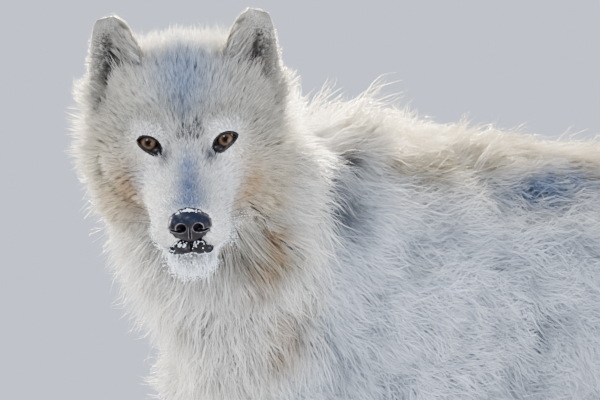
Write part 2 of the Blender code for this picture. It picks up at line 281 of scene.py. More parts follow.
# %% Depth of the coat


def in_head(spots):
    """Places in the head's own frame."""
    back = np.array(HEAD.inverted())
    return spots @ back[:3, :3].T + back[:3, 3]


FLESH = ["head", "lower_jaw", "neck", "trunk", "tail"]
LIMBS = ["leg_front_left", "leg_front_right", "leg_hind_left", "leg_hind_right"]
PAWS = ["paw_front_left", "paw_front_right", "paw_hind_left", "paw_hind_right"]
tail_low, tail_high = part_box("tail")
trunk_low, trunk_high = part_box("trunk")
leg_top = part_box("leg_front_left")[1].z


def coat_depth(spots):
    """How far the skin lies below the tips of the coat, in metres."""
    height = spots[:, 2]
    depth = 30 * MM * ramp(height, leg_top - 0.06, leg_top + 0.10)  # trunk, and upper arm
    depth = np.maximum(depth, 13 * MM * ramp(height, 0.16, 0.36))
    depth = np.maximum(depth, 6 * MM * ramp(height, 0.05, 0.12))
    depth = np.maximum(depth, 3 * MM)
    behind = ramp(spots[:, 1], tail_low.y - 0.02, tail_low.y + 0.05)
    tail_depth = 8 * MM + 26 * MM * ramp(height, tail_low.z + 0.01, tail_low.z + 0.14)
    depth = depth * (1 - behind) + tail_depth * behind
    in_front = ramp(spots[:, 1], trunk_low.y + 0.18, trunk_low.y + 0.06) * ramp(height, 0.42, 0.56)
    depth += 12 * MM * in_front
    head_spots = in_head(spots)
    face = ramp(head_spots[:, 1], 40 * MM, -20 * MM) * (np.linalg.norm(head_spots, axis=1) < 0.2)
    return depth * (1 - face) + 12 * MM * face


# %% Sink the body
BODY_VOXEL = 6.5 * MM
SINK_STEPS = 8


def flesh_cast(work):
    """Every solid of flesh, grown by a hair so that the parting gaps close."""
    for node in FLESH + LIMBS + PAWS:
        start = len(work.verts)
        work.from_mesh(frame["nodes"][node].data)
        work.verts.ensure_lookup_table()
        bmesh.ops.remove_doubles(work, verts=work.verts[start:], dist=1e-5)
    work.normal_update()
    for vert in work.verts:
        vert.co += vert.normal * MM


lean = add_piece("lean_body", mesh_of(flesh_cast, "lean_body"))
melt(lean, BODY_VOXEL, 4)
cast_spots, pairs = corners_of(lean.data), edges_of(lean.data)
depth = spread(coat_depth(cast_spots), pairs, 6)
spots = cast_spots.copy()
for step in range(SINK_STEPS):
    facing = spread(normals_of(lean.data), pairs, 2)
    facing /= np.linalg.norm(facing, axis=1)[:, None] + 1e-9
    spots = spots - facing * (depth / SINK_STEPS)[:, None]
    spots = spread(spots, pairs, 2)
    move_to(lean, spots)
print("lean body:", len(lean.data.vertices), "vertices, coat up to", round(depth.max() / MM), "mm deep")

# %% [markdown]
# ## The face under the fur
# The muzzle, stop, brows and ears show their own shape through short hair, so they get a finer sculpture of
# their own: one long skull tube, and balls for the brow ridges, cheekbones, whisker pads and chin.

# %% Skull and muzzle
FACE_VOXEL = 2.2 * MM
UP = Vector((0, 0, 1))


def skull(work):
    """Braincase, stop and muzzle, in the head's frame."""
    #        back  height  half width, up, down, in millimetres
    profile = (
        (128, 0, 30, 30, 40),
        (106, 0, 58, 60, 66),
        (76, -4, 76, 80, 80),
        (46, -10, 83, 88, 82),
        (20, -16, 80, 80, 80),
        (0, -20, 69, 64, 76),
        (-16, -24, 56, 46, 70),
        (-32, -30, 46.5, 35, 63),
        (-50, -37, 41.5, 29.5, 56),
        (-74, -44, 38, 26, 50),
        (-100, -49, 34, 24, 45),
        (-116, -53, 26, 19, 37),
        (-121, -57, 15, 12, 26),
    )
    rows = [(0, y * MM, z * MM, wide * MM, up * MM, down * MM) for y, z, wide, up, down in profile]
    tube(work, rows, UP, HEAD, peak=1.1)


def lump(work, spot, size, turn=Matrix.Identity(4)):
    """A ball of clay in the head's frame, in millimetres."""
    ball(work, Vector(spot) * MM, Vector(size) * MM, HEAD, turn)


def mirrored(work, spot, size, turn=0.0):
    """The same ball on both sides of the head, in millimetres, turned about its own upright axis."""
    for side in (-1, 1):
        place = Vector((side * spot[0], spot[1], spot[2])) * MM
        ball(work, place, [s * MM for s in size], HEAD, Matrix.Rotation(side * turn, 4, "Z"))


def muscles(work):
    mirrored(work, (34, 6, 16), (26, 27, 16))  # brow
    mirrored(work, (52, 12, -20), (29, 38, 22))  # cheekbone
    mirrored(work, (15, -26, -8), (12, 30, 16))  # sides of the stop
    mirrored(work, (19, -94, -60), (18.5, 32, 19))  # whisker pad
    mirrored(work, (44, 34, -50), (31, 44, 36))  # jaw muscle
    lump(work, (0, -81, -87), (22, 28, 12))  # chin
    lump(work, (0, -50, -84), (28, 52, 22))  # lower jaw


def face_clay(work):
    skull(work)
    muscles(work)


def eye_spot(side):
    """The middle of the eyeball, in the head's frame."""
    return Vector((side * EYE_SPREAD, EYE_DEPTH, EYE_RISE)) + LOOK * EYE_FORWARD


LOOK = HEAD.to_3x3().inverted() @ Vector((math.sin(LOOK_TURN), -math.cos(LOOK_TURN), 0))
EYE_FORWARD = 9 * MM  # under the fur the eyeball lies a little further forward than its solid
ORBIT_RADIUS, LID_RADIUS = 17 * MM, 14.2 * MM

face = add_piece("face", mesh_of(face_clay, "face"))
melt(face, FACE_VOXEL, 2)
for side in (-1, 1):
    orbit = eye_spot(side) + Vector((side * -7, -27, 3)) * MM
    join_or_cut(face, mesh_of(lambda work: ball(work, orbit, (ORBIT_RADIUS,) * 3, HEAD), "orbit"))
melt(face, FACE_VOXEL, 0)
spots, pairs = corners_of(face.data), edges_of(face.data)
front = ramp(in_head(spots)[:, 1], -45 * MM, -80 * MM)[:, None]
move_to(face, spread(spots, pairs, 50) * (1 - front) + spread(spots, pairs, 8) * front)
for side in (-1, 1):
    bulge = mesh_of(lambda work: ball(work, eye_spot(side), (LID_RADIUS,) * 3, HEAD), "lid bulge")
    join_or_cut(face, bulge, "UNION")
melt(face, FACE_VOXEL, 3)
print("face:", len(face.data.vertices), "vertices, the wolf looks towards", [round(c, 2) for c in LOOK])

# %% [markdown]
# ## Eye openings
# A wolf's eye slants: the tear duct lies low beside the nose, and the outer corner about 16 mm higher. The
# upper lid makes a high arc over the line between the two corners, and the lower lid is nearly straight. The
# outline is worked out once, and serves to cut the opening, to place the black lid rims and to guide the fur.

# %% Outline of the lids
EYE_RADIUS = 12.6 * MM
EYE_SLANT = math.radians(35)
LID_HALF_LENGTH, UPPER_ARC, LOWER_ARC = 13.2 * MM, 9.6 * MM, 2.6 * MM
LID_LINE = 4.2 * MM  # the line between the corners runs this far below the eyeball's centre
LID_ACROSS = (Vector((1, 0, 0)) - LOOK * LOOK.x).normalized()
LID_UP = LOOK.cross(LID_ACROSS)
uncut_face = BVHTree.FromPolygons([v.co for v in face.data.vertices], [p.vertices for p in face.data.polygons])


def lid_point(side, turn, grow=0.0):
    """A point of the lid outline, seen from in front, as (across, up) from the eyeball's centre."""
    along = (LID_HALF_LENGTH + grow * 1.25) * math.cos(turn)
    arc = UPPER_ARC if turn < math.pi else LOWER_ARC
    over = (arc + grow) * math.copysign(abs(math.sin(turn)) ** 1.15, math.sin(turn))
    across = along * math.cos(EYE_SLANT) - over * math.sin(EYE_SLANT)
    up = along * math.sin(EYE_SLANT) + over * math.cos(EYE_SLANT) - LID_LINE
    return side * across, up


def on_lids(side, turn, grow, out):
    """The outline's point on the face, raised by out towards where the wolf looks."""
    across, up = lid_point(side, turn, grow)
    spot = eye_spot(side) + LID_ACROSS * across + LID_UP * up
    look = HEAD.to_3x3() @ LOOK
    hit = uncut_face.ray_cast(HEAD @ (spot + LOOK * 60 * MM), -look)[0]
    return hit + look * out


def lid_cutter(side, count=48):
    """A prism with the lids' outline, from inside the eyeball to well in front of it."""

    def build(work):
        layers = []
        for ahead, grow in ((0, 0.0), (30 * MM, 0.6 * MM)):
            layer = []
            for k in range(count):
                across, up = lid_point(side, 2 * math.pi * k / count, grow)
                spot = eye_spot(side) + LID_ACROSS * across + LID_UP * up + LOOK * ahead
                layer.append(work.verts.new(HEAD @ spot))
            layers.append(layer)
        skin_over(work, layers)

    return build


def socket(side):
    size = EYE_RADIUS + 0.4 * MM
    return lambda work: ball(work, eye_spot(side), (size, size, size), HEAD, segments=40)


for side in (-1, 1):
    join_or_cut(face, mesh_of(lid_cutter(side), "lid opening"))
    join_or_cut(face, mesh_of(socket(side), "socket"))
print("face with eye openings:", len(face.data.vertices), "vertices")

# %% [markdown]
# ## Ears
# An ear is a thin cup. A voxel remesh would tear its edges, so each ear is a closed crescent tube, hollow in
# front, and is joined to head and body afterwards with exact Booleans.

# %% Ears
EAR_STATIONS = (
    #  out, back, height, half width, front, behind, in millimetres
    (60, 46, 0, 22, 12, 14),
    (64, 46, 22, 29, 7, 10),
    (66.5, 48, 42, 32, 3.4, 7),
    (67, 51, 62, 31.5, 2.4, 5.5),
    (69, 55, 84, 27.5, 2.0, 4.4),
    (72.5, 59, 102, 22.5, 1.8, 3.6),
    (75, 61, 112, 16.5, 1.4, 2.6),
    (76, 62, 117.5, 10, 1.0, 1.6),
)
EAR_HOLLOW = 15 * MM


def ear_facing(side):
    return Vector((side * 0.42, -1, 0))


def ear(side):
    rows = [(side * x * MM, y * MM, z * MM, w * MM, f * MM, a * MM) for x, y, z, w, f, a in EAR_STATIONS]
    return lambda work: tube(work, rows, ear_facing(side), HEAD, bow=EAR_HOLLOW, points=48)


ear_meshes = [mesh_of(ear(side), "ear") for side in (-1, 1)]
skin = lean
melt(skin, BODY_VOXEL, 2)
skin.name = "skin"
for part in (face.data.copy(), ear_meshes[0].copy(), ear_meshes[1].copy()):
    join_or_cut(skin, part, "UNION")
bpy.data.objects.remove(face)
spots, pairs = corners_of(skin.data), edges_of(skin.data)
head_spots = in_head(spots)
behind = ramp(head_spots[:, 1], 22 * MM, 55 * MM) * ramp(head_spots[:, 2], 25 * MM, 5 * MM)
behind = np.maximum(behind, ramp(head_spots[:, 1], 95 * MM, 110 * MM))[:, None]
move_to(skin, spread(spots, pairs, 25) * behind + spots * (1 - behind))
print("skin:", len(skin.data.vertices), "vertices in one closed surface")

# %% [markdown]
# ## Eyes
# The globe turns its iris to where the wolf looks. Three numbers are stored on it for the colours: the
# distance from the pupil's middle, the angle around it, and how far up a place lies in the upper lid's shade.
# The front bulges a little, as the cornea does.

# %% Eyeballs
CORNEA_REACH, CORNEA_BULGE = 8.6 * MM, 1.3 * MM


for side, word in SIDES:
    ball_mesh = mesh_of(lambda work: ball(work, eye_spot(side), (EYE_RADIUS,) * 3, HEAD, segments=72), "globe")
    globe = add_piece("globe_" + word, ball_mesh)
    spots = corners_of(globe.data)
    offset = in_head(spots) - np.array(eye_spot(side))
    flat = offset - np.outer(offset @ np.array(LOOK), np.array(LOOK))
    distance = np.linalg.norm(flat, axis=1)
    in_front = offset @ np.array(LOOK) > 0
    bulge = CORNEA_BULGE * (1 - np.clip(distance / CORNEA_REACH, 0, 1) ** 2) * in_front
    look = np.array(HEAD.to_3x3() @ LOOK)
    move_to(globe, spots + np.outer(bulge, look))
    store(globe.data, "from_pupil", np.where(in_front, distance / MM, 20))
    store(globe.data, "under_lid", ramp(flat @ np.array(LID_UP), 0.5 * MM, 6 * MM))
    store(globe.data, "around", np.arctan2(flat @ np.array(LID_UP), flat @ np.array(LID_ACROSS)))
    globe.data.shade_smooth()
print("two eyeballs of", EYE_RADIUS / MM, "mm radius")

# %% Black rims of the lids
RIM = (
    #  grow, height over the face, in millimetres, from the inner edge outwards
    (-0.5, -3.5),
    (-0.6, -0.8),
    (0.2, 0.8),
    (1.5, 1.2),
    (2.1, -2.0),
)


def rims(side, count=64):
    def build(work):
        rings = []
        for k in range(count):
            turn = 2 * math.pi * k / count
            lower = 0.5 - 0.5 * math.sin(turn)
            inner = max(0.0, -math.cos(turn)) ** 12
            broad = 1 + 0.7 * lower + 1.6 * inner
            ring = [on_lids(side, turn, grow * MM * (broad if grow > 0 else 1), out * MM) for grow, out in RIM]
            rings.append([work.verts.new(spot) for spot in ring])
        skin_over(work, rings, closed=True)

    return build


for side, word in SIDES:
    add_piece("lid_rim_" + word, mesh_of(rims(side), "lid_rim_" + word)).data.shade_smooth()
print("black rims, widest at the inner corner and below")

# %% The third eyelid fills the inner corner, dark and wet
def third_lid(side):
    deep = on_lids(side, math.pi * 0.985, -2.5 * MM, -4.6 * MM)
    return lambda work: ball(work, deep, (8 * MM, 5 * MM, 6 * MM), turn=head_turning)


for side, word in SIDES:
    add_piece("third_eyelid_" + word, mesh_of(third_lid(side), "third_eyelid_" + word)).data.shade_smooth()
print("third eyelids are in")

# %% [markdown]
# ## Nose leather
# The pad is a rounded wedge, widest above and narrowing to the cleft of the lip. The nostrils are deep commas:
# a round hole, and a slit that curls out and up along the side. It is melted at under a millimetre, so that
# the wings of the nostrils stay crisp. Two numbers are kept for the finish: where a ridge stands proud, which
# gets a painted grey highlight, and how near the top of the pad a place lies, which gets a painted bluish
# reflection of the sky.

# %% Nose
NOSE_VOXEL = 0.75 * MM


def nose_clay(work):
    lump(work, (0, -118, -43.5), (16.0, 16, 10))  # top of the pad
    lump(work, (0, -121.5, -51), (18.8, 13, 15))
    lump(work, (0, -119, -57), (9, 11, 10.5))  # down to the lip
    mirrored(work, (12.6, -122, -48.5), (8.6, 12, 10.2), math.radians(18))  # wings
    mirrored(work, (9.4, -128.5, -48.4), (7.0, 8.5, 6.6), math.radians(16))  # ridge round each nostril
    mirrored(work, (8.0, -122, -53.5), (7.5, 11, 8.5), math.radians(12))  # floor of the nostrils


def hollow(spot, size, turn_out=0.0, turn_up=0.0, roll=0.0):
    """A closed ellipsoid to cut with, in millimetres and degrees."""
    turn = turned(math.radians(turn_out), math.radians(turn_up), math.radians(roll))
    return mesh_of(lambda work: lump(work, spot, size, turn), "hollow")


nose_leather = add_piece("nose_leather", mesh_of(nose_clay, "nose_leather"))
melt(nose_leather, NOSE_VOXEL, 8)
for side in (-1, 1):
    join_or_cut(nose_leather, hollow((side * 9.0, -137, -49.2), (4.8, 13, 4.7), side * 16, -6, side * -14))
    join_or_cut(nose_leather, hollow((side * 14.5, -133, -52.6), (6.5, 9, 1.3), side * 30, 0, side * -14))
    join_or_cut(nose_leather, hollow((side * 21.5, -126, -47.5), (1.7, 12, 7.5), side * 52, 0, side * -6))
join_or_cut(nose_leather, hollow((0, -134, -61), (1.0, 6, 15)))
melt(nose_leather, NOSE_VOXEL, 3)
spots = corners_of(nose_leather.data)
proud = spots - spread(spots, edges_of(nose_leather.data), 3)
proud = np.einsum("ij,ij->i", proud, normals_of(nose_leather.data)) / MM
# painted highlight on ridges that stand proud
store(nose_leather.data, "worn", ramp(proud, 0.03, 0.14))
# painted reflection of the sky on the top of the pad
store(nose_leather.data, "top", ramp(in_head(spots)[:, 2] / MM, -50, -40))
print("nose leather:", len(nose_leather.data.vertices), "vertices")

# %% [markdown]
# ## Lips
# Two black pads sit under the nose, one on each side of the cleft. From them a dark tube follows the mouth
# back to its corners. Its points are dropped onto the face, so that it stays in the groove.

# %% Lips
MOUTH = (
    #  out, back, height, radius, in millimetres in the head's frame
    (0, -111, -79, 2.0),
    (8, -110, -79, 2.2),
    (15, -108, -79, 2.4),
    (22, -103, -78, 2.2),
    (27, -95, -77, 2.2),
    (31, -78, -75, 2.4),
    (36, -62, -72, 2.4),
    (40, -49, -68, 1.8),
    (42, -42, -64, 0.8),
)


def strand(work, points, radii, around=8):
    """A round strand through points, closed at both ends."""
    rings = []
    for k, (point, radius) in enumerate(zip(points, radii)):
        ahead, behind = points[min(k + 1, len(points) - 1)], points[max(k - 1, 0)]
        along = (ahead - behind).normalized()
        side = along.cross(Vector((0.3, 0.2, 1))).normalized()
        over = along.cross(side)
        turns = [2 * math.pi * j / around for j in range(around)]
        ring = [point + (side * math.cos(t) + over * math.sin(t)) * radius for t in turns]
        rings.append([work.verts.new(spot) for spot in ring])
    skin_over(work, rings)


def lips_clay(work):
    for side in (-1, 1):
        rows = smooth_row([(side * x * MM, y * MM, z * MM, r * MM) for x, y, z, r in MOUTH], 6)
        points = [uncut_face.find_nearest(HEAD @ Vector(row[:3]))[0] for row in rows]
        strand(work, points, rows[:, 3])
    mirrored(work, (9.0, -115.5, -74.3), (9.4, 8, 7.2), math.radians(22))  # the two pads
    mirrored(work, (15.5, -112.3, -76), (6.4, 8, 6.0), math.radians(40))  # their outer corners
    mirrored(work, (10.5, -116.5, -70.6), (8.2, 8, 5.8), math.radians(24))  # their upper halves
    lump(work, (0, -114, -72.5), (8, 7, 8))


lips = add_piece("lips", mesh_of(lips_clay, "lips"))
melt(lips, 0.9 * MM, 4)
join_or_cut(lips, hollow((0, -124, -73), (0.9, 6.5, 9)))  # the cleft
print("lips:", len(lips.data.vertices), "vertices")

# %% [markdown]
# ## Claws
# Four blunt dark claws stand before each paw, curved down to the floor.

# %% Claws
CLAW_LENGTH, CLAW_RADIUS = 15 * MM, 3.2 * MM
CLAW_PLACES = (-0.62, -0.22, 0.22, 0.62)


def claws(work):
    for paw in PAWS:
        low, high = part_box(paw)
        half = (high.x - low.x) / 2
        for share in CLAW_PLACES:
            back = 10 * MM + 16 * MM * abs(share)
            root = Vector(((low.x + high.x) / 2 + share * half, low.y + back, 13 * MM))
            points, radii = [], []
            for k in range(7):
                t = k / 6
                drop = 3 * MM * t - 10.5 * MM * t * t
                points.append(root + Vector((share * 2 * MM * t, -CLAW_LENGTH * t, drop)))
                radii.append(CLAW_RADIUS * (1 - t) ** 0.5 + 0.25 * MM)
            strand(work, points, radii, around=10)


claw_piece = add_piece("claws", mesh_of(claws, "claws"))
for piece in (claw_piece, lips, nose_leather):
    piece.data.shade_smooth()
print(len(PAWS) * len(CLAW_PLACES), "claws")

# %% [markdown]
# ## What the coat is like at each place
# The coat is described by numbers on the skin: which way the hair lies, how long it is, how far it stands off,
# and where each kind of tuft may grow. Each skin vertex first learns which solid of the frame it lies nearest
# to. Those memberships are then blurred over the surface, so that one kind of coat passes into the next.

# %% Which part of the animal each vertex belongs to
PARTS = {
    "head": ["head", "lower_jaw"],
    "neck": ["neck"],
    "trunk": ["trunk"],
    "tail": ["tail"],
    "leg": LIMBS,
    "paw": PAWS,
}


def tree_of(meshes):
    """A search tree over the surfaces of several meshes."""
    corners, faces = [], []
    for mesh in meshes:
        start = len(corners)
        corners += [v.co for v in mesh.vertices]
        faces += [[start + i for i in polygon.vertices] for polygon in mesh.polygons]
    return BVHTree.FromPolygons(corners, faces)


def distance_to(surface, spots, limit=10.0):
    found = [surface.find_nearest(Vector(spot), limit)[3] for spot in spots]
    return np.array([limit if d is None else d for d in found])


spots, facing, pairs = corners_of(skin.data), normals_of(skin.data), edges_of(skin.data)
head_spots = in_head(spots) / MM
gaps = [distance_to(tree_of([frame["nodes"][n].data for n in nodes]), spots) for nodes in PARTS.values()]
nearest = np.argmin(gaps, axis=0)
on_head, on_neck, on_trunk, on_tail, on_leg, on_paw = (
    spread((nearest == number).astype(float), pairs, 14) for number in range(len(PARTS))
)
print({part: int((nearest == number).sum()) for number, part in enumerate(PARTS)}, "vertices nearest to each")

# %% Ears, and places that stay bare
hx, hy, hz = head_spots.T
ear_gap = np.full(len(spots), 1.0)
near_ears = np.flatnonzero((hz > -5) & (hy > 20) & (hy < 90) & (np.abs(hx) > 28) & (np.abs(hx) < 110))
ear_gap[near_ears] = distance_to(tree_of(ear_meshes), spots[near_ears])
on_ear = (ear_gap < 0.3 * MM).astype(float)
ear_front = np.zeros(len(spots))
for side in (-1, 1):
    look = np.array((HEAD.to_3x3() @ ear_facing(side)).normalized())
    ear_front = np.where(np.sign(hx) == side, facing @ look, ear_front)
inner_ear = on_ear * ramp(ear_front, 0.0, 0.35)
behind_nose = (hy < -108) & (np.abs(hx) < 13) & (hz > -58) & (hz < -38)
lip_top = -68 - 0.5 * np.clip(np.abs(hx) - 7, 0, None)
under_nose = (hy < -96) & (np.abs(hx) < 23) & (hz > -83) & (hz < lip_top)
bare = (behind_nose | under_nose).astype(float)
nose_tree, lip_tree, skin_tree = tree_of([nose_leather.data]), tree_of([lips.data]), tree_of([skin.data])
for side in (-1, 1):
    offset = head_spots * MM - np.array(eye_spot(side))
    across, up = side * (offset @ np.array(LID_ACROSS)), offset @ np.array(LID_UP) + LID_LINE
    along = across * math.cos(EYE_SLANT) + up * math.sin(EYE_SLANT)
    over = up * math.cos(EYE_SLANT) - across * math.sin(EYE_SLANT)
    reach = np.where(along < 0, LID_HALF_LENGTH + 4 * MM, LID_HALF_LENGTH + 2.2 * MM)
    arch = np.clip(1 - (along / reach) ** 2, 0, 1)
    within = (over < (UPPER_ARC + 1.8 * MM) * arch) & (over > -(LOWER_ARC + 2.8 * MM) * arch)
    inner = ramp(-along, 0, LID_HALF_LENGTH)
    within |= (along < 0) & (over < 0) & (over > -(LOWER_ARC + 2.8 * MM) * arch - 1.8 * MM * inner) & (arch > 0)
    duct = (np.abs(along + LID_HALF_LENGTH + 1.5 * MM) < 1.7 * MM) & (over < 1 * MM) & (over > -8 * MM)
    bare = np.maximum(bare, (within | duct) & (np.linalg.norm(offset, axis=1) < 30 * MM))
for vertex in np.flatnonzero((hy < -80) & (np.abs(hx) < 40) & (hz < -20) & (hz > -81)):
    for surface, reach in ((nose_tree, 1.0 * MM), (lip_tree, 0.7 * MM)):
        near, outward, _, gap = surface.find_nearest(Vector(spots[vertex]))
        if gap < reach or (Vector(spots[vertex]) - near).dot(outward) < 0:
            bare[vertex] = 1
print(int(on_ear.sum()), "vertices on the ears,", int(bare.sum()), "stay bare")

# %% [markdown]
# ## Lie of the hair
# Hair runs away from the nose over the whole head and on along the neck, sinks down the cheeks and throat,
# runs back along the trunk, and down the limbs and tail. On the ears it runs up the back, and inside it
# sweeps from the inner edge over the hollow. Two noises make it a real coat: one strays the lie, the other
# makes clumps of longer and shorter hair. Hair is longest on the nape and neck, at the outer foot of each ear
# it turns shaggy, and the right side is a little flatter, as in a wind from the left.

# %% Direction field
NOSE_TIP = np.array((0, -135, -52))
STRAY_SCALE = 16.0  # swirls of about 60 mm in the long coat
turn_head = np.array(HEAD.to_3x3())


def unit(vectors):
    return vectors / (np.linalg.norm(vectors, axis=1)[:, None] + 1e-9)


def flat_on(vectors, normals):
    """The part of each vector that lies in the surface, made one long."""
    return unit(vectors - normals * np.einsum("ij,ij->i", vectors, normals)[:, None])


def aim(x, y, z):
    return np.tile((x, y, z), (len(spots), 1)).astype(float)


soft_facing = unit(spread(facing, pairs, 3))
from_nose = unit(head_spots - NOSE_TIP)
cheek = ramp(np.abs(hx), 25, 60) * ramp(hz, 20, -25) * on_head
throat = ramp(hz, -70, -110)
from_nose[:, 2] -= 0.45 * cheek + 0.25 * throat
from_nose[:, 0] += 0.25 * np.sign(hx) * cheek
head_lie = from_nose @ turn_head.T
neck_lie = unit(head_lie * 0.9 + aim(0, 0.15, -0.75))
in_front = ramp(-soft_facing[:, 1], 0.1, 0.6) * ramp(spots[:, 1], -0.10, -0.25)
trunk_lie = unit(aim(0, 1, -0.40) * (1 - in_front)[:, None] + aim(0, 0.15, -1) * in_front[:, None])
thigh = ramp(spots[:, 2], 0.56, 0.38)[:, None]
leg_lie = unit(aim(0, 0.8, -0.6) * (1 - thigh) + aim(0, 0.15, -1) * thigh)
lie = (
    head_lie * on_head[:, None]
    + neck_lie * on_neck[:, None]
    + trunk_lie * on_trunk[:, None]
    + aim(0, 0.35, -1) * on_tail[:, None]
    + leg_lie * on_leg[:, None]
    + aim(0, -0.9, -0.45) * on_paw[:, None]
)
stray = np.array([noise.noise_vector(Vector(spot) * STRAY_SCALE) for spot in spots])
lie = unit(lie) + stray * (0.5 * on_neck + 0.55 * on_trunk + 0.12)[:, None]
lie = flat_on(lie, soft_facing)
beard = fade(hx / 24, (hy + 98) / 26) * ramp(hz, -74, -86) * on_head
lie = flat_on(lie * (1 - beard[:, None]) + aim(0, 0, -1) * beard[:, None], soft_facing)
for _ in range(2):
    lie = flat_on(spread(lie, pairs, 6), soft_facing)
for side in (-1, 1):
    from_eye = spots - np.array(HEAD @ eye_spot(side))
    round_eye = ramp(np.linalg.norm(from_eye, axis=1), 32 * MM, 20 * MM)[:, None]
    lie = flat_on(lie * (1 - round_eye) + flat_on(from_eye, soft_facing) * round_eye, soft_facing)
up_ear = np.column_stack([0.1 * np.sign(hx), 0.1 + 0 * hx, 1 + 0 * hx]) @ turn_head.T
over_ear = np.column_stack([0.9 * np.sign(hx), -0.5 + 0 * hx, 0.75 + 0 * hx]) @ turn_head.T
ear_lie = flat_on(up_ear * (1 - inner_ear)[:, None] + over_ear * inner_ear[:, None], soft_facing)
lie = np.where(on_ear[:, None] > 0.5, ear_lie, lie)
print("the hair of the trunk lies towards", [round(float(c), 2) for c in lie[on_trunk > 0.9].mean(axis=0)])

# %% Length of the hair and how far it stands off, in millimetres and degrees
NAPE, NAPE_RADIUS = (-0.02, -0.25, 0.745), 45 * MM
sides = ramp(np.abs(hx), 25, 62)
head_length = 5.0 + 3.0 * ramp(hy, -115, -60) + 7 * ramp(hy, -60, -10) + 29 * ramp(hy, 0, 60)
head_length += 26 * ramp(hy, -15, 40) * ramp(hz, 45, 0) * sides
head_length += 12 * ramp(hy, 15, 50) * fade((np.abs(hx) - 42) / 20) * ramp(hz, 10, 45)
head_length += 7 * beard + 22 * ramp(hy, -60, -5) * ramp(hz, -75, -95)
head_length *= 1 - 0.45 * fade((np.abs(hx) - 90) / 24, (hz - 18) / 30)  # below the ears
for side in (-1, 1):
    to_eye = np.linalg.norm(head_spots - np.array(eye_spot(side)) / MM, axis=1)
    head_length *= 0.4 + 0.6 * ramp(to_eye, 18, 36)
height = spots[:, 2]
upper = ramp(soft_facing[:, 2], 0.2, 0.9)
under = ramp(-soft_facing[:, 2], 0.3, 0.9)
neck_length = 74 - 24 * upper
trunk_length = 56 - 4 * upper - 10 * under + 24 * in_front
leg_length = 16 + 20 * ramp(height, 0.10, 0.30) + 20 * ramp(height, 0.30, 0.46)
right_of_chest = ramp(-soft_facing[:, 0], 0.0, 0.7) * ramp(height, 0.70, 0.60)
right_of_chest = right_of_chest * (on_neck + on_trunk * in_front)
tail_length = 45 + 40 * ramp(height, tail_low.z, tail_low.z + 0.12)
length = (
    head_length * on_head
    + neck_length * on_neck
    + trunk_length * on_trunk
    + tail_length * on_tail
    + leg_length * on_leg
    + 8 * on_paw
)
on_nape = fade(*((spots - np.array(NAPE)) / NAPE_RADIUS).T)  # tall wisps stand here
length = spread(length * (1 - 0.55 * right_of_chest) + 46 * on_nape, pairs, 4)
inner_edge = ramp(np.abs(hx) - 0.12 * hz, 58, 44)  # the edge of the ear that is next to the crown
ear_base = on_ear * ramp(hz, 56, 34) * ramp(np.abs(hx), 66, 80)
ear_length = 9 - 6 * ramp(hz, 70, 108) + inner_ear * (18 * inner_edge * ramp(hz, 112, 90) - 1) + 20 * ear_base
length = np.where(on_ear > 0.5, ear_length, length)
mottle = clumps(spots, 24.0)  # of about 40 mm
shaggy = on_neck + on_trunk + 0.5 * on_tail
length *= 1 + 0.4 * mottle * shaggy
right_side = ramp(-soft_facing[:, 0], 0.2, 0.8) * (on_trunk + on_leg)
length *= 1 - 0.3 * right_side
lift = 14 * np.roll(mottle, 7) * shaggy + beard * (14 + 40 * under)
lift += (8 - 13 * upper - 10 * right_of_chest) * on_neck + 6 * on_tail + 8 * on_leg - 7 * upper * on_trunk
lift += on_head * 15 * ramp(hy, 5, 50) * ramp(hz, 0, 50)
lift += on_head * 15 * ramp(hy, -15, 30) * sides * ramp(hz, 60, 20) - 4 * on_ear * inner_ear
lift += 12 * ear_base - 7 * right_side
print("the fur of the ears is up to", round(float(ear_length[on_ear > 0.5].max())), "mm long")

# %% [markdown]
# ## Markings and painted shade
# An arctic wolf is white, but never one white: the cheeks and the side of the neck are stained ochre, the brow
# and the bridge of the muzzle are grey, and dark underfur shows where the neck bends. Painted shade is laid on
# in the same way: behind the ruff, in the hollow below the back, in clouds and clefts over the flank, along the
# hollow of each ear, and as a blue-grey over the sides of trunk and neck. Each marking or patch of shade is a
# soft egg-shaped patch. Skin and coat read the same colours from the skin's vertices.

# %% Patches of colour


def linear(code):
    """Hex sRGB to the linear numbers that shaders use."""
    parts = [int(code[i : i + 2], 16) / 255 for i in (1, 3, 5)]
    return [c / 12.92 if c <= 0.04045 else ((c + 0.055) / 1.055) ** 2.4 for c in parts]


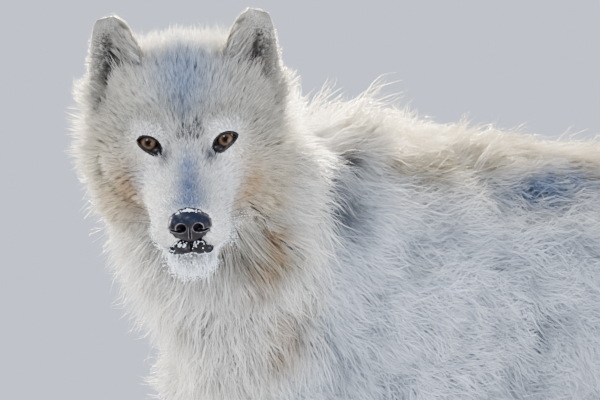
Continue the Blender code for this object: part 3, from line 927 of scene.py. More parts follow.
PAIRED_FROM = 9  # a patch whose middle lies this far out is on both sides of the head
HEAD_PATCHES = (
    #  middle, half widths in millimetres in the head's frame, colour, strength
    ((0, 2, 84), (40, 48, 38), "#8CA3C5", 0.82),  # blue-grey crown
    ((0, -20, 36), (34, 26, 26), "#B3B2A6", 0.5),  # beige forehead
    ((0, -12, 58), (24, 22, 24), "#93A7C4", 0.7),  # where the blue runs down between the brows
    ((0, -24, 40), (10, 14, 16), "#93A3BB", 0.6),
    ((58, -18, -36), (18, 32, 28), "#C2965A", 0.9),  # ochre cheek
    ((48, -28, -62), (12, 20, 16), "#B08A54", 0.7),
    ((70, 14, -58), (22, 34, 30), "#D8C49E", 0.6),
    ((76, 8, -16), (26, 40, 36), "#CFC6B0", 0.8),  # cream ruff
    ((60, 4, 22), (30, 36, 26), "#B7B4A2", 0.35),  # greyish temple
    ((84, 26, 30), (20, 30, 34), "#C8C6BC", 0.5),
    ((36, -14, 30), (26, 18, 12), "#A8A48C", 0.42),  # olive above the brow
    ((38, -16, 19), (18, 18, 7), "#F0F1F0", 0.9),  # pale brow
    ((33, -38, -26), (16, 30, 18), "#FFFFFF", 0.95),  # white below the eye
    ((28, -80, -52), (12, 36, 20), "#F3F5F7", 0.9),  # side of the muzzle
    ((14, -90, -32), (9, 26, 14), "#AEB9BC", 0.55),  # greyish flank of the bridge
    ((0, -56, -12), (11, 22, 18), "#8598B7", 0.85),  # bridge of the muzzle, narrow above
    ((0, -88, -24), (13, 28, 16), "#5E7297", 0.92),
    ((0, -110, -34), (17, 14, 12), "#52668C", 0.95),
    ((21, -45, -4), (6.5, 11, 10), "#5A5F66", 0.95),  # grey tear line
    ((0, -84, -96), (30, 50, 16), "#FFFFFF", 0.9),  # chin
)
BODY_MARKS_AND_SHADE = (
    #  a place over the coat and half widths, in metres in the frame, colour, strength
    ((0.127, -0.443, 0.631), (0.011, 0.011, 0.013), "#A07840", 0.9),  # ochre mats on the neck
    ((0.127, -0.446, 0.610), (0.016, 0.016, 0.012), "#B08C5A", 0.8),
    ((0.095, -0.447, 0.584), (0.012, 0.012, 0.017), "#8F6838", 0.9),
    ((0.112, -0.452, 0.598), (0.012, 0.012, 0.010), "#9C7A44", 0.9),
    ((0.124, -0.420, 0.606), (0.012, 0.016, 0.010), "#86805F", 0.8),
    ((0.110, -0.440, 0.650), (0.014, 0.012, 0.008), "#A98D5E", 0.7),
    ((0.069, -0.404, 0.552), (0.013, 0.013, 0.020), "#9A753E", 0.85),
    ((0.063, -0.385, 0.515), (0.013, 0.013, 0.036), "#93703C", 0.9),
    ((0.083, -0.370, 0.546), (0.013, 0.013, 0.022), "#857C62", 0.7),
    ((0.062, -0.330, 0.525), (0.016, 0.016, 0.018), "#696B6A", 0.8),  # grey underfur between them
    ((0.057, -0.298, 0.489), (0.022, 0.022, 0.022), "#787E86", 0.8),
    ((0.100, -0.482, 0.630), (0.010, 0.010, 0.009), "#78736A", 0.7),
    ((0.100, -0.489, 0.612), (0.012, 0.012, 0.008), "#8A8272", 0.7),
    # painted shade behind the ruff, over darker underfur
    ((0.036, -0.278, 0.714), (0.022, 0.020, 0.018), "#5C5D5A", 1.2),  # dark underfur behind the ruff
    ((0.080, -0.323, 0.692), (0.024, 0.026, 0.026), "#696D70", 1.2),
    ((0.086, -0.314, 0.662), (0.022, 0.024, 0.022), "#6E7276", 1.1),
    ((0.074, -0.295, 0.638), (0.020, 0.020, 0.018), "#747A81", 0.9),
    # painted blue shade in the hollow below the back
    ((0.026, 0.052, 0.688), (0.045, 0.066, 0.024), "#7184A4", 1.2),  # shaded hollow below the back
    ((0.036, -0.016, 0.680), (0.034, 0.040, 0.017), "#7586A0", 1.0),
    ((0.033, -0.158, 0.695), (0.016, 0.022, 0.011), "#7C7568", 0.8),
    # painted shade in the clefts of the flank
    ((0.054, -0.147, 0.627), (0.022, 0.024, 0.013), "#A0A5AC", 0.65),  # shaded clefts of the flank
    ((0.074, -0.076, 0.606), (0.022, 0.026, 0.013), "#9EA3AA", 0.65),
    ((0.061, 0.001, 0.625), (0.022, 0.032, 0.013), "#868D97", 0.75),
    ((0.062, 0.050, 0.616), (0.022, 0.024, 0.012), "#979DA5", 0.6),
    ((0.070, -0.024, 0.520), (0.015, 0.015, 0.024), "#6E747D", 0.8),
    ((0.060, 0.007, 0.541), (0.015, 0.018, 0.017), "#858B94", 0.7),
    ((0.041, -0.020, 0.472), (0.030, 0.030, 0.020), "#858B93", 0.7),
    ((0.036, -0.226, 0.479), (0.030, 0.030, 0.020), "#868C94", 0.6),
    ((-0.050, 0.000, 0.740), (0.030, 0.160, 0.024), "#A99E84", 0.9),  # cream ridge of the back
    ((0.018, -0.110, 0.710), (0.030, 0.080, 0.016), "#C4B99E", 0.8),
    ((-0.050, -0.230, 0.760), (0.040, 0.060, 0.024), "#C9C4B6", 0.7),
)
marking = np.tile(linear("#F4F1EA"), (len(spots), 1))


def lay_over(colours, where, code):
    """The colours, with another one laid over them as thickly as where says."""
    return colours * (1 - where[:, None]) + np.array(linear(code)) * where[:, None]


side_of_neck = on_neck * ramp(spots[:, 1], -0.39, -0.33)
# painted blue-grey shade over the sides of trunk and neck, fading where they face the sky
marking = lay_over(marking, 0.8 * (on_trunk + side_of_neck) * ramp(soft_facing[:, 2], 0.7, 0.2), "#D3DAE4")
marking = lay_over(marking, 0.8 * on_trunk * upper, "#CFC5B0")
marking = lay_over(marking, 0.5 * on_head * ramp(hy, -20, 20), "#D8D1BF")
# grey clouds: painted shade between clumps of hair, with grey underfur showing in the partings
large_shade_and_underfur = ramp(clumps(spots, 17.0), 0.1, 0.5)  # of about 60 mm
marking = lay_over(marking, 0.6 * large_shade_and_underfur * (on_trunk + side_of_neck), "#B4B8BC")
small_shade_and_underfur = ramp(clumps(spots, 36.0), 0.1, 0.5)  # of about 28 mm
marking = lay_over(marking, 0.4 * small_shade_and_underfur * on_trunk, "#A6AAAE")
# every body patch, stain or painted shade alike, is broken up this way
broken_up = 0.4 + 0.6 * ramp(clumps(spots, 70.0), -0.35, 0.05)  # mats of about 14 mm
for over, size, code, strength in BODY_MARKS_AND_SHADE:
    centre = np.array(skin_tree.find_nearest(Vector(over))[0])
    patch = fade(*((spots - centre) / np.array(size)).T)
    marking = lay_over(marking, np.clip(strength * patch * broken_up, 0, 1), code)
for (out, back, up), size, code, strength in HEAD_PATCHES:
    for side in (-1, 1) if out > PAIRED_FROM else (1,):
        patch = fade(*((head_spots - np.array((side * out, back, up))) / np.array(size)).T)
        marking = lay_over(marking, strength * patch, code)
# painted dark shade along the hollow of each ear
from_hollow = np.abs(hx) - 65 - 0.4 * (hz - 62)
shaded_ear_hollow = inner_ear * fade(from_hollow / (5 + 6 * ramp(hz, 90, 55)))
shaded_ear_hollow = shaded_ear_hollow * ramp(hz, 108, 78) * ramp(hz, 30, 40)
outer_edge = ramp(np.abs(hx) - 0.15 * hz, 72, 84)
deep_ear = inner_ear * (1 - 0.7 * inner_edge) * (1 - outer_edge)
marking = lay_over(marking, 0.65 * deep_ear * ramp(hz, 34, 50), "#8B8981")
marking = lay_over(marking, 0.97 * np.clip(1.3 * shaded_ear_hollow, 0, 1), "#2A211C")
marking = lay_over(marking, 0.35 * on_ear * (1 - inner_ear), "#D8CFBE")
speckled = clumps(head_spots * MM, 130.0)  # of about 8 mm
fleck = 0.22 + 0.15 * ramp(hz, -20, 20) * ramp(hy, 60, 30)  # how many of the hairs are black
fleck += 0.3 * ramp(speckled, -0.2, 0.3) * fade(hx / 34, (hy + 10) / 30, (hz - 38) / 26)  # forehead
fleck += 1.8 * ramp(speckled, -0.3, 0.1) * fade((hx - 2) / 11, (hy + 32) / 14, (hz - 16) / 11)  # between brows
fleck += 0.9 * ramp(speckled, -0.1, 0.2) * fade((hx - 56) / 18, (hz + 72) / 20) * (hy < 30)  # left cheek
fleck *= 1 - 0.7 * ramp(marking.min(axis=1), 0.88, 0.98)
print("markings are in, the darkest", [round(float(c), 3) for c in marking.min(axis=0)])

# %% Unwrap of the skin, and its numbers stored
for piece in bpy.context.scene.objects:
    piece.select_set(piece == skin)
bpy.context.view_layer.objects.active = skin
bpy.ops.object.mode_set(mode="EDIT")
bpy.ops.mesh.select_all(action="SELECT")
bpy.ops.uv.smart_project(angle_limit=math.radians(66), island_margin=0.001)
bpy.ops.object.mode_set(mode="OBJECT")
skin.data.uv_layers.active.name = "unwrap"
trunk_middle = middle("trunk")
left, right = spots[:, 0] >= trunk_middle.x, spots[:, 0] < trunk_middle.x
fore, hind = spots[:, 1] < trunk_middle.y, spots[:, 1] >= trunk_middle.y
furry_head = on_head * (1 - on_ear)
kinds = {
    "left_face_tufts": furry_head * ramp(hy, 30, 14) * (hx >= 0),
    "right_face_tufts": furry_head * ramp(hy, 30, 14) * (hx < 0),
    "crown_tufts": furry_head * ramp(hy, 12, 28),
    "ear_tufts": on_ear * (1 - 0.9 * shaded_ear_hollow),
    "beard_tufts": beard * ramp(hz, -80, -86),
    "wool_tufts": (on_neck + on_trunk * ramp(spots[:, 1], 0.25, -0.05)) * ramp(height, 0.40, 0.50),
    "hackle_tufts": (on_neck + on_trunk) * ramp(upper, 0.5, 0.9) * ramp(spots[:, 1], 0.06, -0.10) * (mottle > 0),
    "left_neck_tufts": on_neck * left,
    "right_neck_tufts": on_neck * right,
    "left_shoulder_tufts": on_trunk * left * fore,
    "right_shoulder_tufts": on_trunk * right * fore,
    "left_flank_tufts": on_trunk * left * hind,
    "right_flank_tufts": on_trunk * right * hind,
    "limb_tufts": on_leg * ramp(height, 0.2, 0.26),
    "foot_tufts": np.maximum(on_leg * ramp(height, 0.26, 0.2), on_paw),
    "tail_tufts": on_tail,
}
for name, where in kinds.items():
    store(skin.data, name, np.clip(where, 0, 1) * (1 - bare))
on_ruff = ramp(hy, 25, 42) * ramp(hz, -25, -60)
for name, values in (("lie", lie), ("out", soft_facing), ("marking", marking)):
    store(skin.data, name, values, "FLOAT_VECTOR")
for name, values in (
    ("fleck", np.clip(fleck, 0, 1)),
    ("black_skin", bare),
    ("by_place", 1 - on_head * (1 - on_ruff)),  # where a blade takes the colour below it, not its root's
    ("soft", np.clip(on_trunk + side_of_neck, 0, 1)),  # where blades are shaded as one soft mass
    ("hair", length * MM),
    ("lift", np.radians(lift)),
):
    store(skin.data, name, values)
for name in [a.name for a in skin.data.attributes if a.name.startswith((".vs", ".es", ".pn"))]:
    skin.data.attributes.remove(skin.data.attributes[name])
skin.data.shade_smooth()
print("hair is", round(float(length.min())), "to", round(float(length.max())), "mm long")

# %% [markdown]
# ## Materials
# Every surface is a plain physical finish. The hair is a pale keratin blade: mostly a soft diffuse reflector,
# with some light passing through, which is what makes a white coat glow along its edges. Its root is darker
# than its tip, for greyer underfur and as painted shade deep in the coat, and every blade and tuft differs a
# little in tone.

# %% One function for all nodes


def add_node(tree, kind, inputs=None, out=0, **settings):
    """A new node's output. Each input given is an output to link, a hex colour or a plain value."""
    made = tree.nodes.new(kind)
    for name, value in settings.items():
        setattr(made, name, value)
    for name, value in (inputs or {}).items():
        if isinstance(value, bpy.types.NodeSocket):
            tree.links.new(value, made.inputs[name])
        elif isinstance(value, str) and value.startswith("#"):
            made.inputs[name].default_value = (*linear(value), 1)
        else:
            made.inputs[name].default_value = value
    return made.outputs[out] if made.outputs else made


def new_finish(name):
    """The empty node tree of a new material."""
    finish = bpy.data.materials.new(name)
    finish.use_nodes = True
    finish.node_tree.nodes.clear()
    return finish.node_tree


# %% Winter hair: pale keratin, rough, a third of the light through it
tree = new_finish("winter_hair")
place = add_node(tree, "ShaderNodeTexCoord", out="Object")
colours_read = add_node(tree, "ShaderNodeAttribute", out="Vector", attribute_name="marking")
outward = add_node(tree, "ShaderNodeAttribute", out="Vector", attribute_name="out")
level = {"streak": add_node(tree, "ShaderNodeTexNoise", {"Vector": place, "Scale": 38.0, "Detail": 3.0})}
for name in ("soft", "tone", "shade", "along", "fleck"):
    level[name] = add_node(tree, "ShaderNodeAttribute", out="Fac", attribute_name=name)
HAIR_LEVELS = (
    #  name, what it follows, from and to there, and the brightness that these become
    ("darkest", "soft", 0, 1, 0.56, 0.93),
    ("palest", "soft", 0, 1, 1.2, 1.05),
    # darker at the root: greyer underfur, and painted shade deep in the coat
    ("root", "soft", 0, 1, 0.62, 0.92),
    ("black blade", "fleck", 0, 1, 1, 0.2),
    ("black tuft", "fleck", 0.8, 1, 1, 0.18),
    ("each blade", "tone", 0, 1, "darkest", "palest"),
    ("few blades", "tone", 0.68, 0.8, 1, "black blade"),
    ("few tufts", "shade", 0.66, 0.7, 1, "black tuft"),
    ("each tuft", "shade", 0, 1, 0.90, 1.05),
    ("root to tip", "along", 0, 1, "root", 1.04),
    ("drift", "streak", 0, 1, 0.88, 1.08),
    ("smoothing", "soft", 0, 1, 0.1, 0.85),
)
for name, follows, low, high, start, end in HAIR_LEVELS:
    ends = {"To Min": level.get(start, start), "To Max": level.get(end, end)}
    ends.update({"Value": level[follows], "From Min": low, "From Max": high})
    level[name] = add_node(tree, "ShaderNodeMapRange", ends)
bright = level["each blade"]
for name in ("few blades", "few tufts", "each tuft", "root to tip", "drift"):
    bright = add_node(tree, "ShaderNodeMath", {0: bright, 1: level[name]}, operation="MULTIPLY")
tint = add_node(tree, "ShaderNodeVectorMath", {0: colours_read, "Scale": bright}, operation="SCALE")
own_way = add_node(tree, "ShaderNodeNewGeometry", out="Normal")
both_ways = {0: level["smoothing"], 6: own_way, 7: outward}
faced = add_node(tree, "ShaderNodeMix", both_ways, out=2, data_type="RGBA")
faced = add_node(tree, "ShaderNodeVectorMath", {0: faced}, operation="NORMALIZE")
keratin = {"Base Color": tint, "Roughness": 0.62, "Normal": faced, "Specular IOR Level": 0.25}
blade = add_node(tree, "ShaderNodeBsdfPrincipled", keratin)
through = add_node(tree, "ShaderNodeBsdfTranslucent", {"Color": tint})
hair = add_node(tree, "ShaderNodeMixShader", {0: 0.3, 1: blade, 2: through})
add_node(tree, "ShaderNodeOutputMaterial", {"Surface": hair})
print(len(tree.nodes), "nodes make the hair")

# %% Skin under the coat: the coat's colours, a little darker, with a fine lie of underfur in its bump
tree = new_finish("skin_with_underfur")
place = add_node(tree, "ShaderNodeTexCoord", out="Object")
colours_read = add_node(tree, "ShaderNodeAttribute", out="Vector", attribute_name="marking")
naked = add_node(tree, "ShaderNodeAttribute", out="Fac", attribute_name="black_skin")
tint = add_node(tree, "ShaderNodeVectorMath", {0: colours_read, "Scale": 0.75}, operation="SCALE")
tint = add_node(tree, "ShaderNodeMix", {0: naked, 6: tint, 7: "#151211"}, out=2, data_type="RGBA")
fluff = add_node(tree, "ShaderNodeTexNoise", {"Vector": place, "Scale": 900.0, "Detail": 4.0})
bump = add_node(tree, "ShaderNodeBump", {"Height": fluff, "Strength": 0.6, "Distance": 0.8 * MM})
hide = add_node(tree, "ShaderNodeBsdfPrincipled", {"Base Color": tint, "Roughness": 0.8, "Normal": bump})
add_node(tree, "ShaderNodeOutputMaterial", {"Surface": hide})

# %% Nose leather: black, pebbled at about a millimetre, damp, with a painted bluish sky reflection above and painted grey highlights on its ridges
tree = new_finish("nose_leather_damp")
place = add_node(tree, "ShaderNodeTexCoord", out="Object")
pebble = add_node(tree, "ShaderNodeTexVoronoi", {"Vector": place, "Scale": 750.0}, feature="SMOOTH_F1")
relief = {"Height": pebble, "Strength": 0.7, "Distance": 0.5 * MM}
bump = add_node(tree, "ShaderNodeBump", relief, invert=True)
blotch = add_node(tree, "ShaderNodeTexNoise", {"Vector": place, "Scale": 90.0, "Detail": 3.0})
tint = add_node(tree, "ShaderNodeMix", {0: blotch, 6: "#141111", 7: "#2A2526"}, out=2, data_type="RGBA")
# painted sky reflection on top, painted grey highlight on the ridges
for name, code in (("top", "#131A2B"), ("worn", "#6E696C")):
    there = add_node(tree, "ShaderNodeAttribute", out="Fac", attribute_name=name)
    tint = add_node(tree, "ShaderNodeMix", {0: there, 6: tint, 7: code}, out=2, data_type="RGBA")
damp = {"Coat Weight": 0.08, "Coat Roughness": 0.25, "Specular IOR Level": 0.22}
damp.update({"Base Color": tint, "Roughness": 0.5, "Normal": bump})
pad = add_node(tree, "ShaderNodeBsdfPrincipled", damp)
add_node(tree, "ShaderNodeOutputMaterial", {"Surface": pad})

# %% Eye: amber iris with a pale ring and dark ones, under a wet cornea
IRIS_REACH = 10  # millimetres from the pupil's middle that the rings below are spread over
IRIS_RINGS = (
    (0.0, "#0A0605"),
    (0.2, "#150F0C"),
    (0.34, "#3C2F26"),
    (0.5, "#625243"),
    (0.64, "#574330"),
    (0.76, "#2C1F18"),
    (0.85, "#120A07"),
    (1.0, "#0A0605"),
)
tree = new_finish("amber_eye_wet")
out, turn, lidded = (
    add_node(tree, "ShaderNodeAttribute", out="Fac", attribute_name=name)
    for name in ("from_pupil", "around", "under_lid")
)
spokes = add_node(tree, "ShaderNodeCombineXYZ", {"X": turn, "Y": out})
spokes = add_node(tree, "ShaderNodeVectorMath", {0: spokes, 1: (9.0, 0.35, 1.0)}, operation="MULTIPLY")
spokes = add_node(tree, "ShaderNodeTexNoise", {"Vector": spokes, "Scale": 2.2, "Detail": 3.0})
reach = add_node(tree, "ShaderNodeMapRange", {"Value": out, "From Max": IRIS_REACH})
rings = add_node(tree, "ShaderNodeValToRGB", {"Fac": reach})
stops = rings.node.color_ramp.elements
while len(stops) < len(IRIS_RINGS):
    stops.new(0.5)
for stop, (at, code) in zip(stops, IRIS_RINGS):
    stop.position = at
    stop.color = (*linear(code), 1)
bright = add_node(tree, "ShaderNodeMapRange", {"Value": spokes, "To Min": 0.5, "To Max": 1.55})
# painted shade of the upper lid over the top of the iris
shaded = add_node(tree, "ShaderNodeMapRange", {"Value": lidded, "To Min": 1.05, "To Max": 0.4})
bright = add_node(tree, "ShaderNodeMath", {0: bright, 1: shaded}, operation="MULTIPLY")
iris = add_node(tree, "ShaderNodeVectorMath", {0: rings, "Scale": bright}, operation="SCALE")
cornea = {"Coat Weight": 0.5, "Coat Roughness": 0.02, "Coat IOR": 1.34, "Specular IOR Level": 0.0}
wet = add_node(tree, "ShaderNodeBsdfPrincipled", {"Base Color": iris, "Roughness": 0.25, **cornea})
add_node(tree, "ShaderNodeOutputMaterial", {"Surface": wet})

# %% Rime: frozen breath, white and rough, a little of the light passing through
RIME = "#F4F7FB"
tree = new_finish("rime")
grain = add_node(tree, "ShaderNodeTexNoise", {"Scale": 1500.0, "Detail": 2.0})
bump = add_node(tree, "ShaderNodeBump", {"Height": grain, "Strength": 0.5, "Distance": 0.3 * MM})
ice = add_node(tree, "ShaderNodeBsdfPrincipled", {"Base Color": RIME, "Roughness": 0.55, "Normal": bump})
through = add_node(tree, "ShaderNodeBsdfTranslucent", {"Color": RIME})
frosted = add_node(tree, "ShaderNodeMixShader", {0: 0.2, 1: ice, 2: through})
add_node(tree, "ShaderNodeOutputMaterial", {"Surface": frosted})

# %% Finishes of one colour, and which piece has which
moist = {"Base Color": "#1D1A1B", "Roughness": 0.45, "Specular IOR Level": 0.2, "Coat Weight": 0.12}
EVEN_FINISHES = {
    "lip_and_lid_skin": moist,  # black and moist
    "claw_horn": {"Base Color": "#2E2723", "Roughness": 0.4},  # dark and worn
    "pale_floor": {"Base Color": "#BFC4CC", "Roughness": 0.8},  # a plain pale board
}
for name, surface in EVEN_FINISHES.items():
    tree = new_finish(name)
    shader = add_node(tree, "ShaderNodeBsdfPrincipled", surface)
    add_node(tree, "ShaderNodeOutputMaterial", {"Surface": shader})
WORN_BY = {
    "skin_with_underfur": ["skin"],
    "nose_leather_damp": ["nose_leather"],
    "claw_horn": ["claws"],
    "amber_eye_wet": ["globe_left", "globe_right"],
    "lip_and_lid_skin": ["lips", "lid_rim_left", "lid_rim_right", "third_eyelid_left", "third_eyelid_right"],
}
for finish, pieces in WORN_BY.items():
    for name in pieces:
        mesh = bpy.data.objects[name].data
        mesh.materials.clear()
        mesh.materials.append(bpy.data.materials[finish])
print(len(bpy.data.materials), "materials")

# %% [markdown]
# ## Tufts
# One tuft is a lock of a few narrow blades that rise from the skin, bend over, and taper to a point. Its own
# frame has the lie of the hair along +Y and the way out of the skin along +Z. Each vertex knows how far along
# its blade it is, the blade's own tone, and its place in the tuft's patch of the coat's texture map.

# %% Locks


def lock(name, blades, segments, reach, width, roots, tips, rise, settle, wave, seed):
    """A tuft: reach, width and spread of roots and tips in millimetres, tilts and sideways wave in degrees."""
    chance = np.random.default_rng(seed)
    corners, faces, along, tone, patch = [], [], [], [], []
    steps = np.linspace(0, 1, segments + 1) ** 0.85
    for b in range(blades):
        root = chance.uniform(-1, 1, 2) * roots * MM
        tip = chance.normal(0, 0.6) * tips * MM
        size = reach * MM * chance.uniform(0.68, 1.0)
        tilt = np.radians(rise + (settle - rise) * steps + chance.normal(0, 6))
        sway = chance.uniform() + steps * chance.uniform(0.6, 1.4)
        sideways = np.radians(wave) * np.sin(2 * math.pi * sway)
        roll = chance.uniform(-0.8, 0.8)
        pace = np.diff(steps) * size
        middle_tilt, middle_turn = (tilt[1:] + tilt[:-1]) / 2, (sideways[1:] + sideways[:-1]) / 2
        flat = np.cos(middle_tilt) * pace
        y = root[1] + np.concatenate([[0], np.cumsum(flat * np.cos(middle_turn))])
        z = np.concatenate([[-0.8 * MM], np.cumsum(np.sin(middle_tilt) * pace)])
        x = root[0] + np.concatenate([[0], np.cumsum(flat * np.sin(middle_turn))])
        x += (tip - root[0] * 0.6) * steps**1.4
        breadth = width * MM * np.interp(steps, [0, 0.3, 0.75, 1], [0.7, 1.0, 0.7, 0.0])
        shade = chance.uniform()
        start = len(corners)
        for k in range(segments + 1):
            edge = (math.cos(roll), -math.sin(tilt[k]) * math.sin(roll), math.cos(tilt[k]) * math.sin(roll))
            for end in (-1, 1) if k < segments else (0,):
                corners.append(np.array((x[k], y[k], z[k])) + np.array(edge) * end * breadth[k] / 2)
                along.append(steps[k])
                tone.append(shade)
                patch.append(((b + 0.5 + 0.45 * end) / blades - 0.5, steps[k] - 0.5, 0))
        for k in range(segments - 1):
            a = start + 2 * k
            faces.append((a, a + 1, a + 3, a + 2))
        a = start + 2 * (segments - 1)
        faces.append((a, a + 1, a + 2))
    mesh = bpy.data.meshes.new(name)
    mesh.from_pydata([tuple(c) for c in corners], [], faces)
    store(mesh, "along", along)
    store(mesh, "tone", tone)
    store(mesh, "patch", patch, "FLOAT_VECTOR")
    return bpy.data.objects.new(name, mesh)


LOCKS = {
    #        blades, segments, reach, width, roots, tips, rise, settle, wave
    "short": (7, 2, 15, 0.55, 1.3, 1.5, 30, 6, 0),
    "beard": (8, 3, 15, 0.7, 2.2, 0.6, 48, 14, 10),
    "wool": (3, 7, 62, 0.5, 5.0, 16.0, 56, -4, 65),
    "middle": (9, 3, 40, 0.5, 2.4, 6.0, 42, 6, 12),
    "long": (7, 4, 75, 0.9, 3.6, 10.0, 48, 2, 24),
    "broad": (7, 4, 60, 1.0, 4.4, 14.0, 52, 0, 40),
    "hackle": (11, 7, 78, 0.8, 2.2, 5.0, 86, 38, 36),
}
LOCK_VARIANTS = 4
locks = {}
for kind, numbers in LOCKS.items():
    locks[kind] = bpy.data.collections.new("locks_" + kind)
    for variant in range(LOCK_VARIANTS):
        locks[kind].objects.link(lock(f"lock_{kind}_{variant}", *numbers, seed=variant + 10 * len(locks)))

# %% [markdown]
# ## Growing the coat with Geometry Nodes
# One node group serves every part of the coat. It scatters roots over the skin at an even spacing, only where
# that kind of tuft may grow, turns a tuft so that it follows the lie of the hair, scales it to the hair's
# length, bends the tips a little with a slow noise so that neighbours gather into locks, and realizes it all
# as plain mesh. Last it lays each tuft's patch of the texture map where its root lies on the skin's unwrap.

# %% The coat's node group: what it is given and what it reads from the skin
PATCH_SIZE = 0.003  # width of one tuft's patch of the texture map
COAT_INPUTS = {
    "Skin": "Geometry",
    "Locks": "Collection",
    "Where": "String",
    "Spacing": "Float",
    "Lock reach": "Float",
    "Gather": "Float",
    "Stray": "Float",
    "Seed": "Int",
    "Finish": "Material",
}
coat_nodes = bpy.data.node_groups.new("coat", "GeometryNodeTree")
for name, kind in COAT_INPUTS.items():
    coat_nodes.interface.new_socket(name, in_out="INPUT", socket_type="NodeSocket" + kind)
coat_nodes.interface.new_socket("Coat", in_out="OUTPUT", socket_type="NodeSocketGeometry")
given = coat_nodes.nodes.new("NodeGroupInput").outputs
grow_node = functools.partial(add_node, coat_nodes)
read = {}
for name in ("lift", "hair", "along", "by_place"):
    read[name] = grow_node("GeometryNodeInputNamedAttribute", {"Name": name}, data_type="FLOAT")
for name in ("out", "lie", "marking", "patch", "unwrap"):
    read[name] = grow_node("GeometryNodeInputNamedAttribute", {"Name": name}, data_type="FLOAT_VECTOR")
CHANCES = (
    #  name, lowest and highest
    ("tilt", -0.10, 0.16),
    ("lean", -0.2, 0.2),
    ("turn", -1.0, 1.0),
    ("height", 0.82, 1.18),
    ("shade", 0.0, 1.0),
)
chances = {}
for number, (name, low, high) in enumerate(CHANCES):
    seed = grow_node("ShaderNodeMath", {0: given["Seed"], 1: number + 1.0}, operation="ADD")
    span = {"Min": low, "Max": high, "Seed": seed}
    chances[name] = grow_node("FunctionNodeRandomValue", span, out=1, data_type="FLOAT")
print("one number of chance for each of", list(chances))

# %% Scatter the roots, and stand a tuft on each
where = grow_node("GeometryNodeInputNamedAttribute", {"Name": given["Where"]}, data_type="FLOAT")
area = grow_node("ShaderNodeMath", {0: given["Spacing"], 1: given["Spacing"]}, operation="MULTIPLY")
dense = grow_node("ShaderNodeMath", {0: 1.0, 1: area}, operation="DIVIDE")
scatter = {
    "Mesh": given["Skin"],
    "Distance Min": given["Spacing"],
    "Density Max": dense,
    "Density Factor": where,
    "Seed": given["Seed"],
}
roots = grow_node("GeometryNodeDistributePointsOnFaces", scatter, out="Points", distribute_method="POISSON")
axes = {"Primary Axis": read["out"], "Secondary Axis": read["lie"]}
lying = grow_node("FunctionNodeAxesToRotation", axes, primary_axis="Z", secondary_axis="Y")
tilted = grow_node("ShaderNodeMath", {0: read["lift"], 1: chances["tilt"]}, operation="ADD")
strayed = grow_node("ShaderNodeMath", {0: given["Stray"], 1: chances["turn"]}, operation="MULTIPLY")
extra = grow_node("ShaderNodeCombineXYZ", {"X": tilted, "Y": chances["lean"], "Z": strayed})
extra = grow_node("FunctionNodeEulerToRotation", {"Euler": extra})
stance = {"Rotation": lying, "Rotate By": extra}
stance = grow_node("FunctionNodeRotateRotation", stance, rotation_space="LOCAL")
tall = grow_node("ShaderNodeMath", {0: read["hair"], 1: given["Lock reach"]}, operation="DIVIDE")
tall = grow_node("ShaderNodeMath", {0: tall, 1: chances["height"]}, operation="MULTIPLY")
stout = grow_node("ShaderNodeMath", {0: tall, 1: 0.45}, operation="POWER")
size = grow_node("ShaderNodeCombineXYZ", {"X": stout, "Y": tall, "Z": tall})
variants = grow_node("GeometryNodeCollectionInfo", {"Collection": given["Locks"], "Separate Children": True})
planted = {"Points": roots, "Instance": variants, "Pick Instance": True, "Rotation": stance, "Scale": size}
tufts = grow_node("GeometryNodeInstanceOnPoints", planted)
shaded = {"Geometry": tufts, "Name": "shade", "Value": chances["shade"]}
tufts = grow_node("GeometryNodeStoreNamedAttribute", shaded, data_type="FLOAT", domain="INSTANCE")
coat_mesh = grow_node("GeometryNodeRealizeInstances", {"Geometry": tufts})

# %% Gather the tips, colour the blades and lay out the texture map
drift = grow_node("ShaderNodeTexNoise", {"Scale": 22.0, "Detail": 3.0, "Roughness": 0.55}, out="Color")
drift = grow_node("ShaderNodeVectorMath", {0: drift, 1: (0.5, 0.5, 0.5)}, operation="SUBTRACT")
limp = grow_node("ShaderNodeMath", {0: read["along"], 1: 1.5}, operation="POWER")
sway = grow_node("ShaderNodeMath", {0: read["hair"], 1: given["Gather"]}, operation="MULTIPLY")
sway = grow_node("ShaderNodeMath", {0: limp, 1: sway}, operation="MULTIPLY")
drift = grow_node("ShaderNodeVectorMath", {0: drift, "Scale": sway}, operation="SCALE")
coat_mesh = grow_node("GeometryNodeSetPosition", {"Geometry": coat_mesh, "Offset": drift})
here = grow_node("GeometryNodeInputPosition")
sample = {"Mesh": given["Skin"], "Value": read["marking"], "Sample Position": here}
below = grow_node("GeometryNodeSampleNearestSurface", sample, out="Value", data_type="FLOAT_VECTOR")
colours = {0: read["by_place"], 4: read["marking"], 5: below}
colours = grow_node("ShaderNodeMix", colours, out=1, data_type="VECTOR")
coloured = {"Geometry": coat_mesh, "Name": "marking", "Value": colours}
coat_mesh = grow_node("GeometryNodeStoreNamedAttribute", coloured, data_type="FLOAT_VECTOR", domain="POINT")
patch = grow_node("ShaderNodeVectorMath", {0: read["patch"], "Scale": PATCH_SIZE}, operation="SCALE")
patch = grow_node("ShaderNodeVectorMath", {0: read["unwrap"], 1: patch}, operation="ADD")
mapped = {"Geometry": coat_mesh, "Name": "OFBake", "Value": patch}
coat_mesh = grow_node("GeometryNodeStoreNamedAttribute", mapped, data_type="FLOAT2", domain="CORNER")
for name in ("unwrap", "patch", "lie", "lift", "hair", "black_skin", "by_place", *kinds):
    coat_mesh = grow_node("GeometryNodeRemoveAttribute", {"Geometry": coat_mesh, "Name": name})
coat_mesh = grow_node("GeometryNodeSetMaterial", {"Geometry": coat_mesh, "Material": given["Finish"]})
add_node(coat_nodes, "NodeGroupOutput", {"Coat": coat_mesh})
print(len(coat_nodes.nodes), "nodes grow the coat")

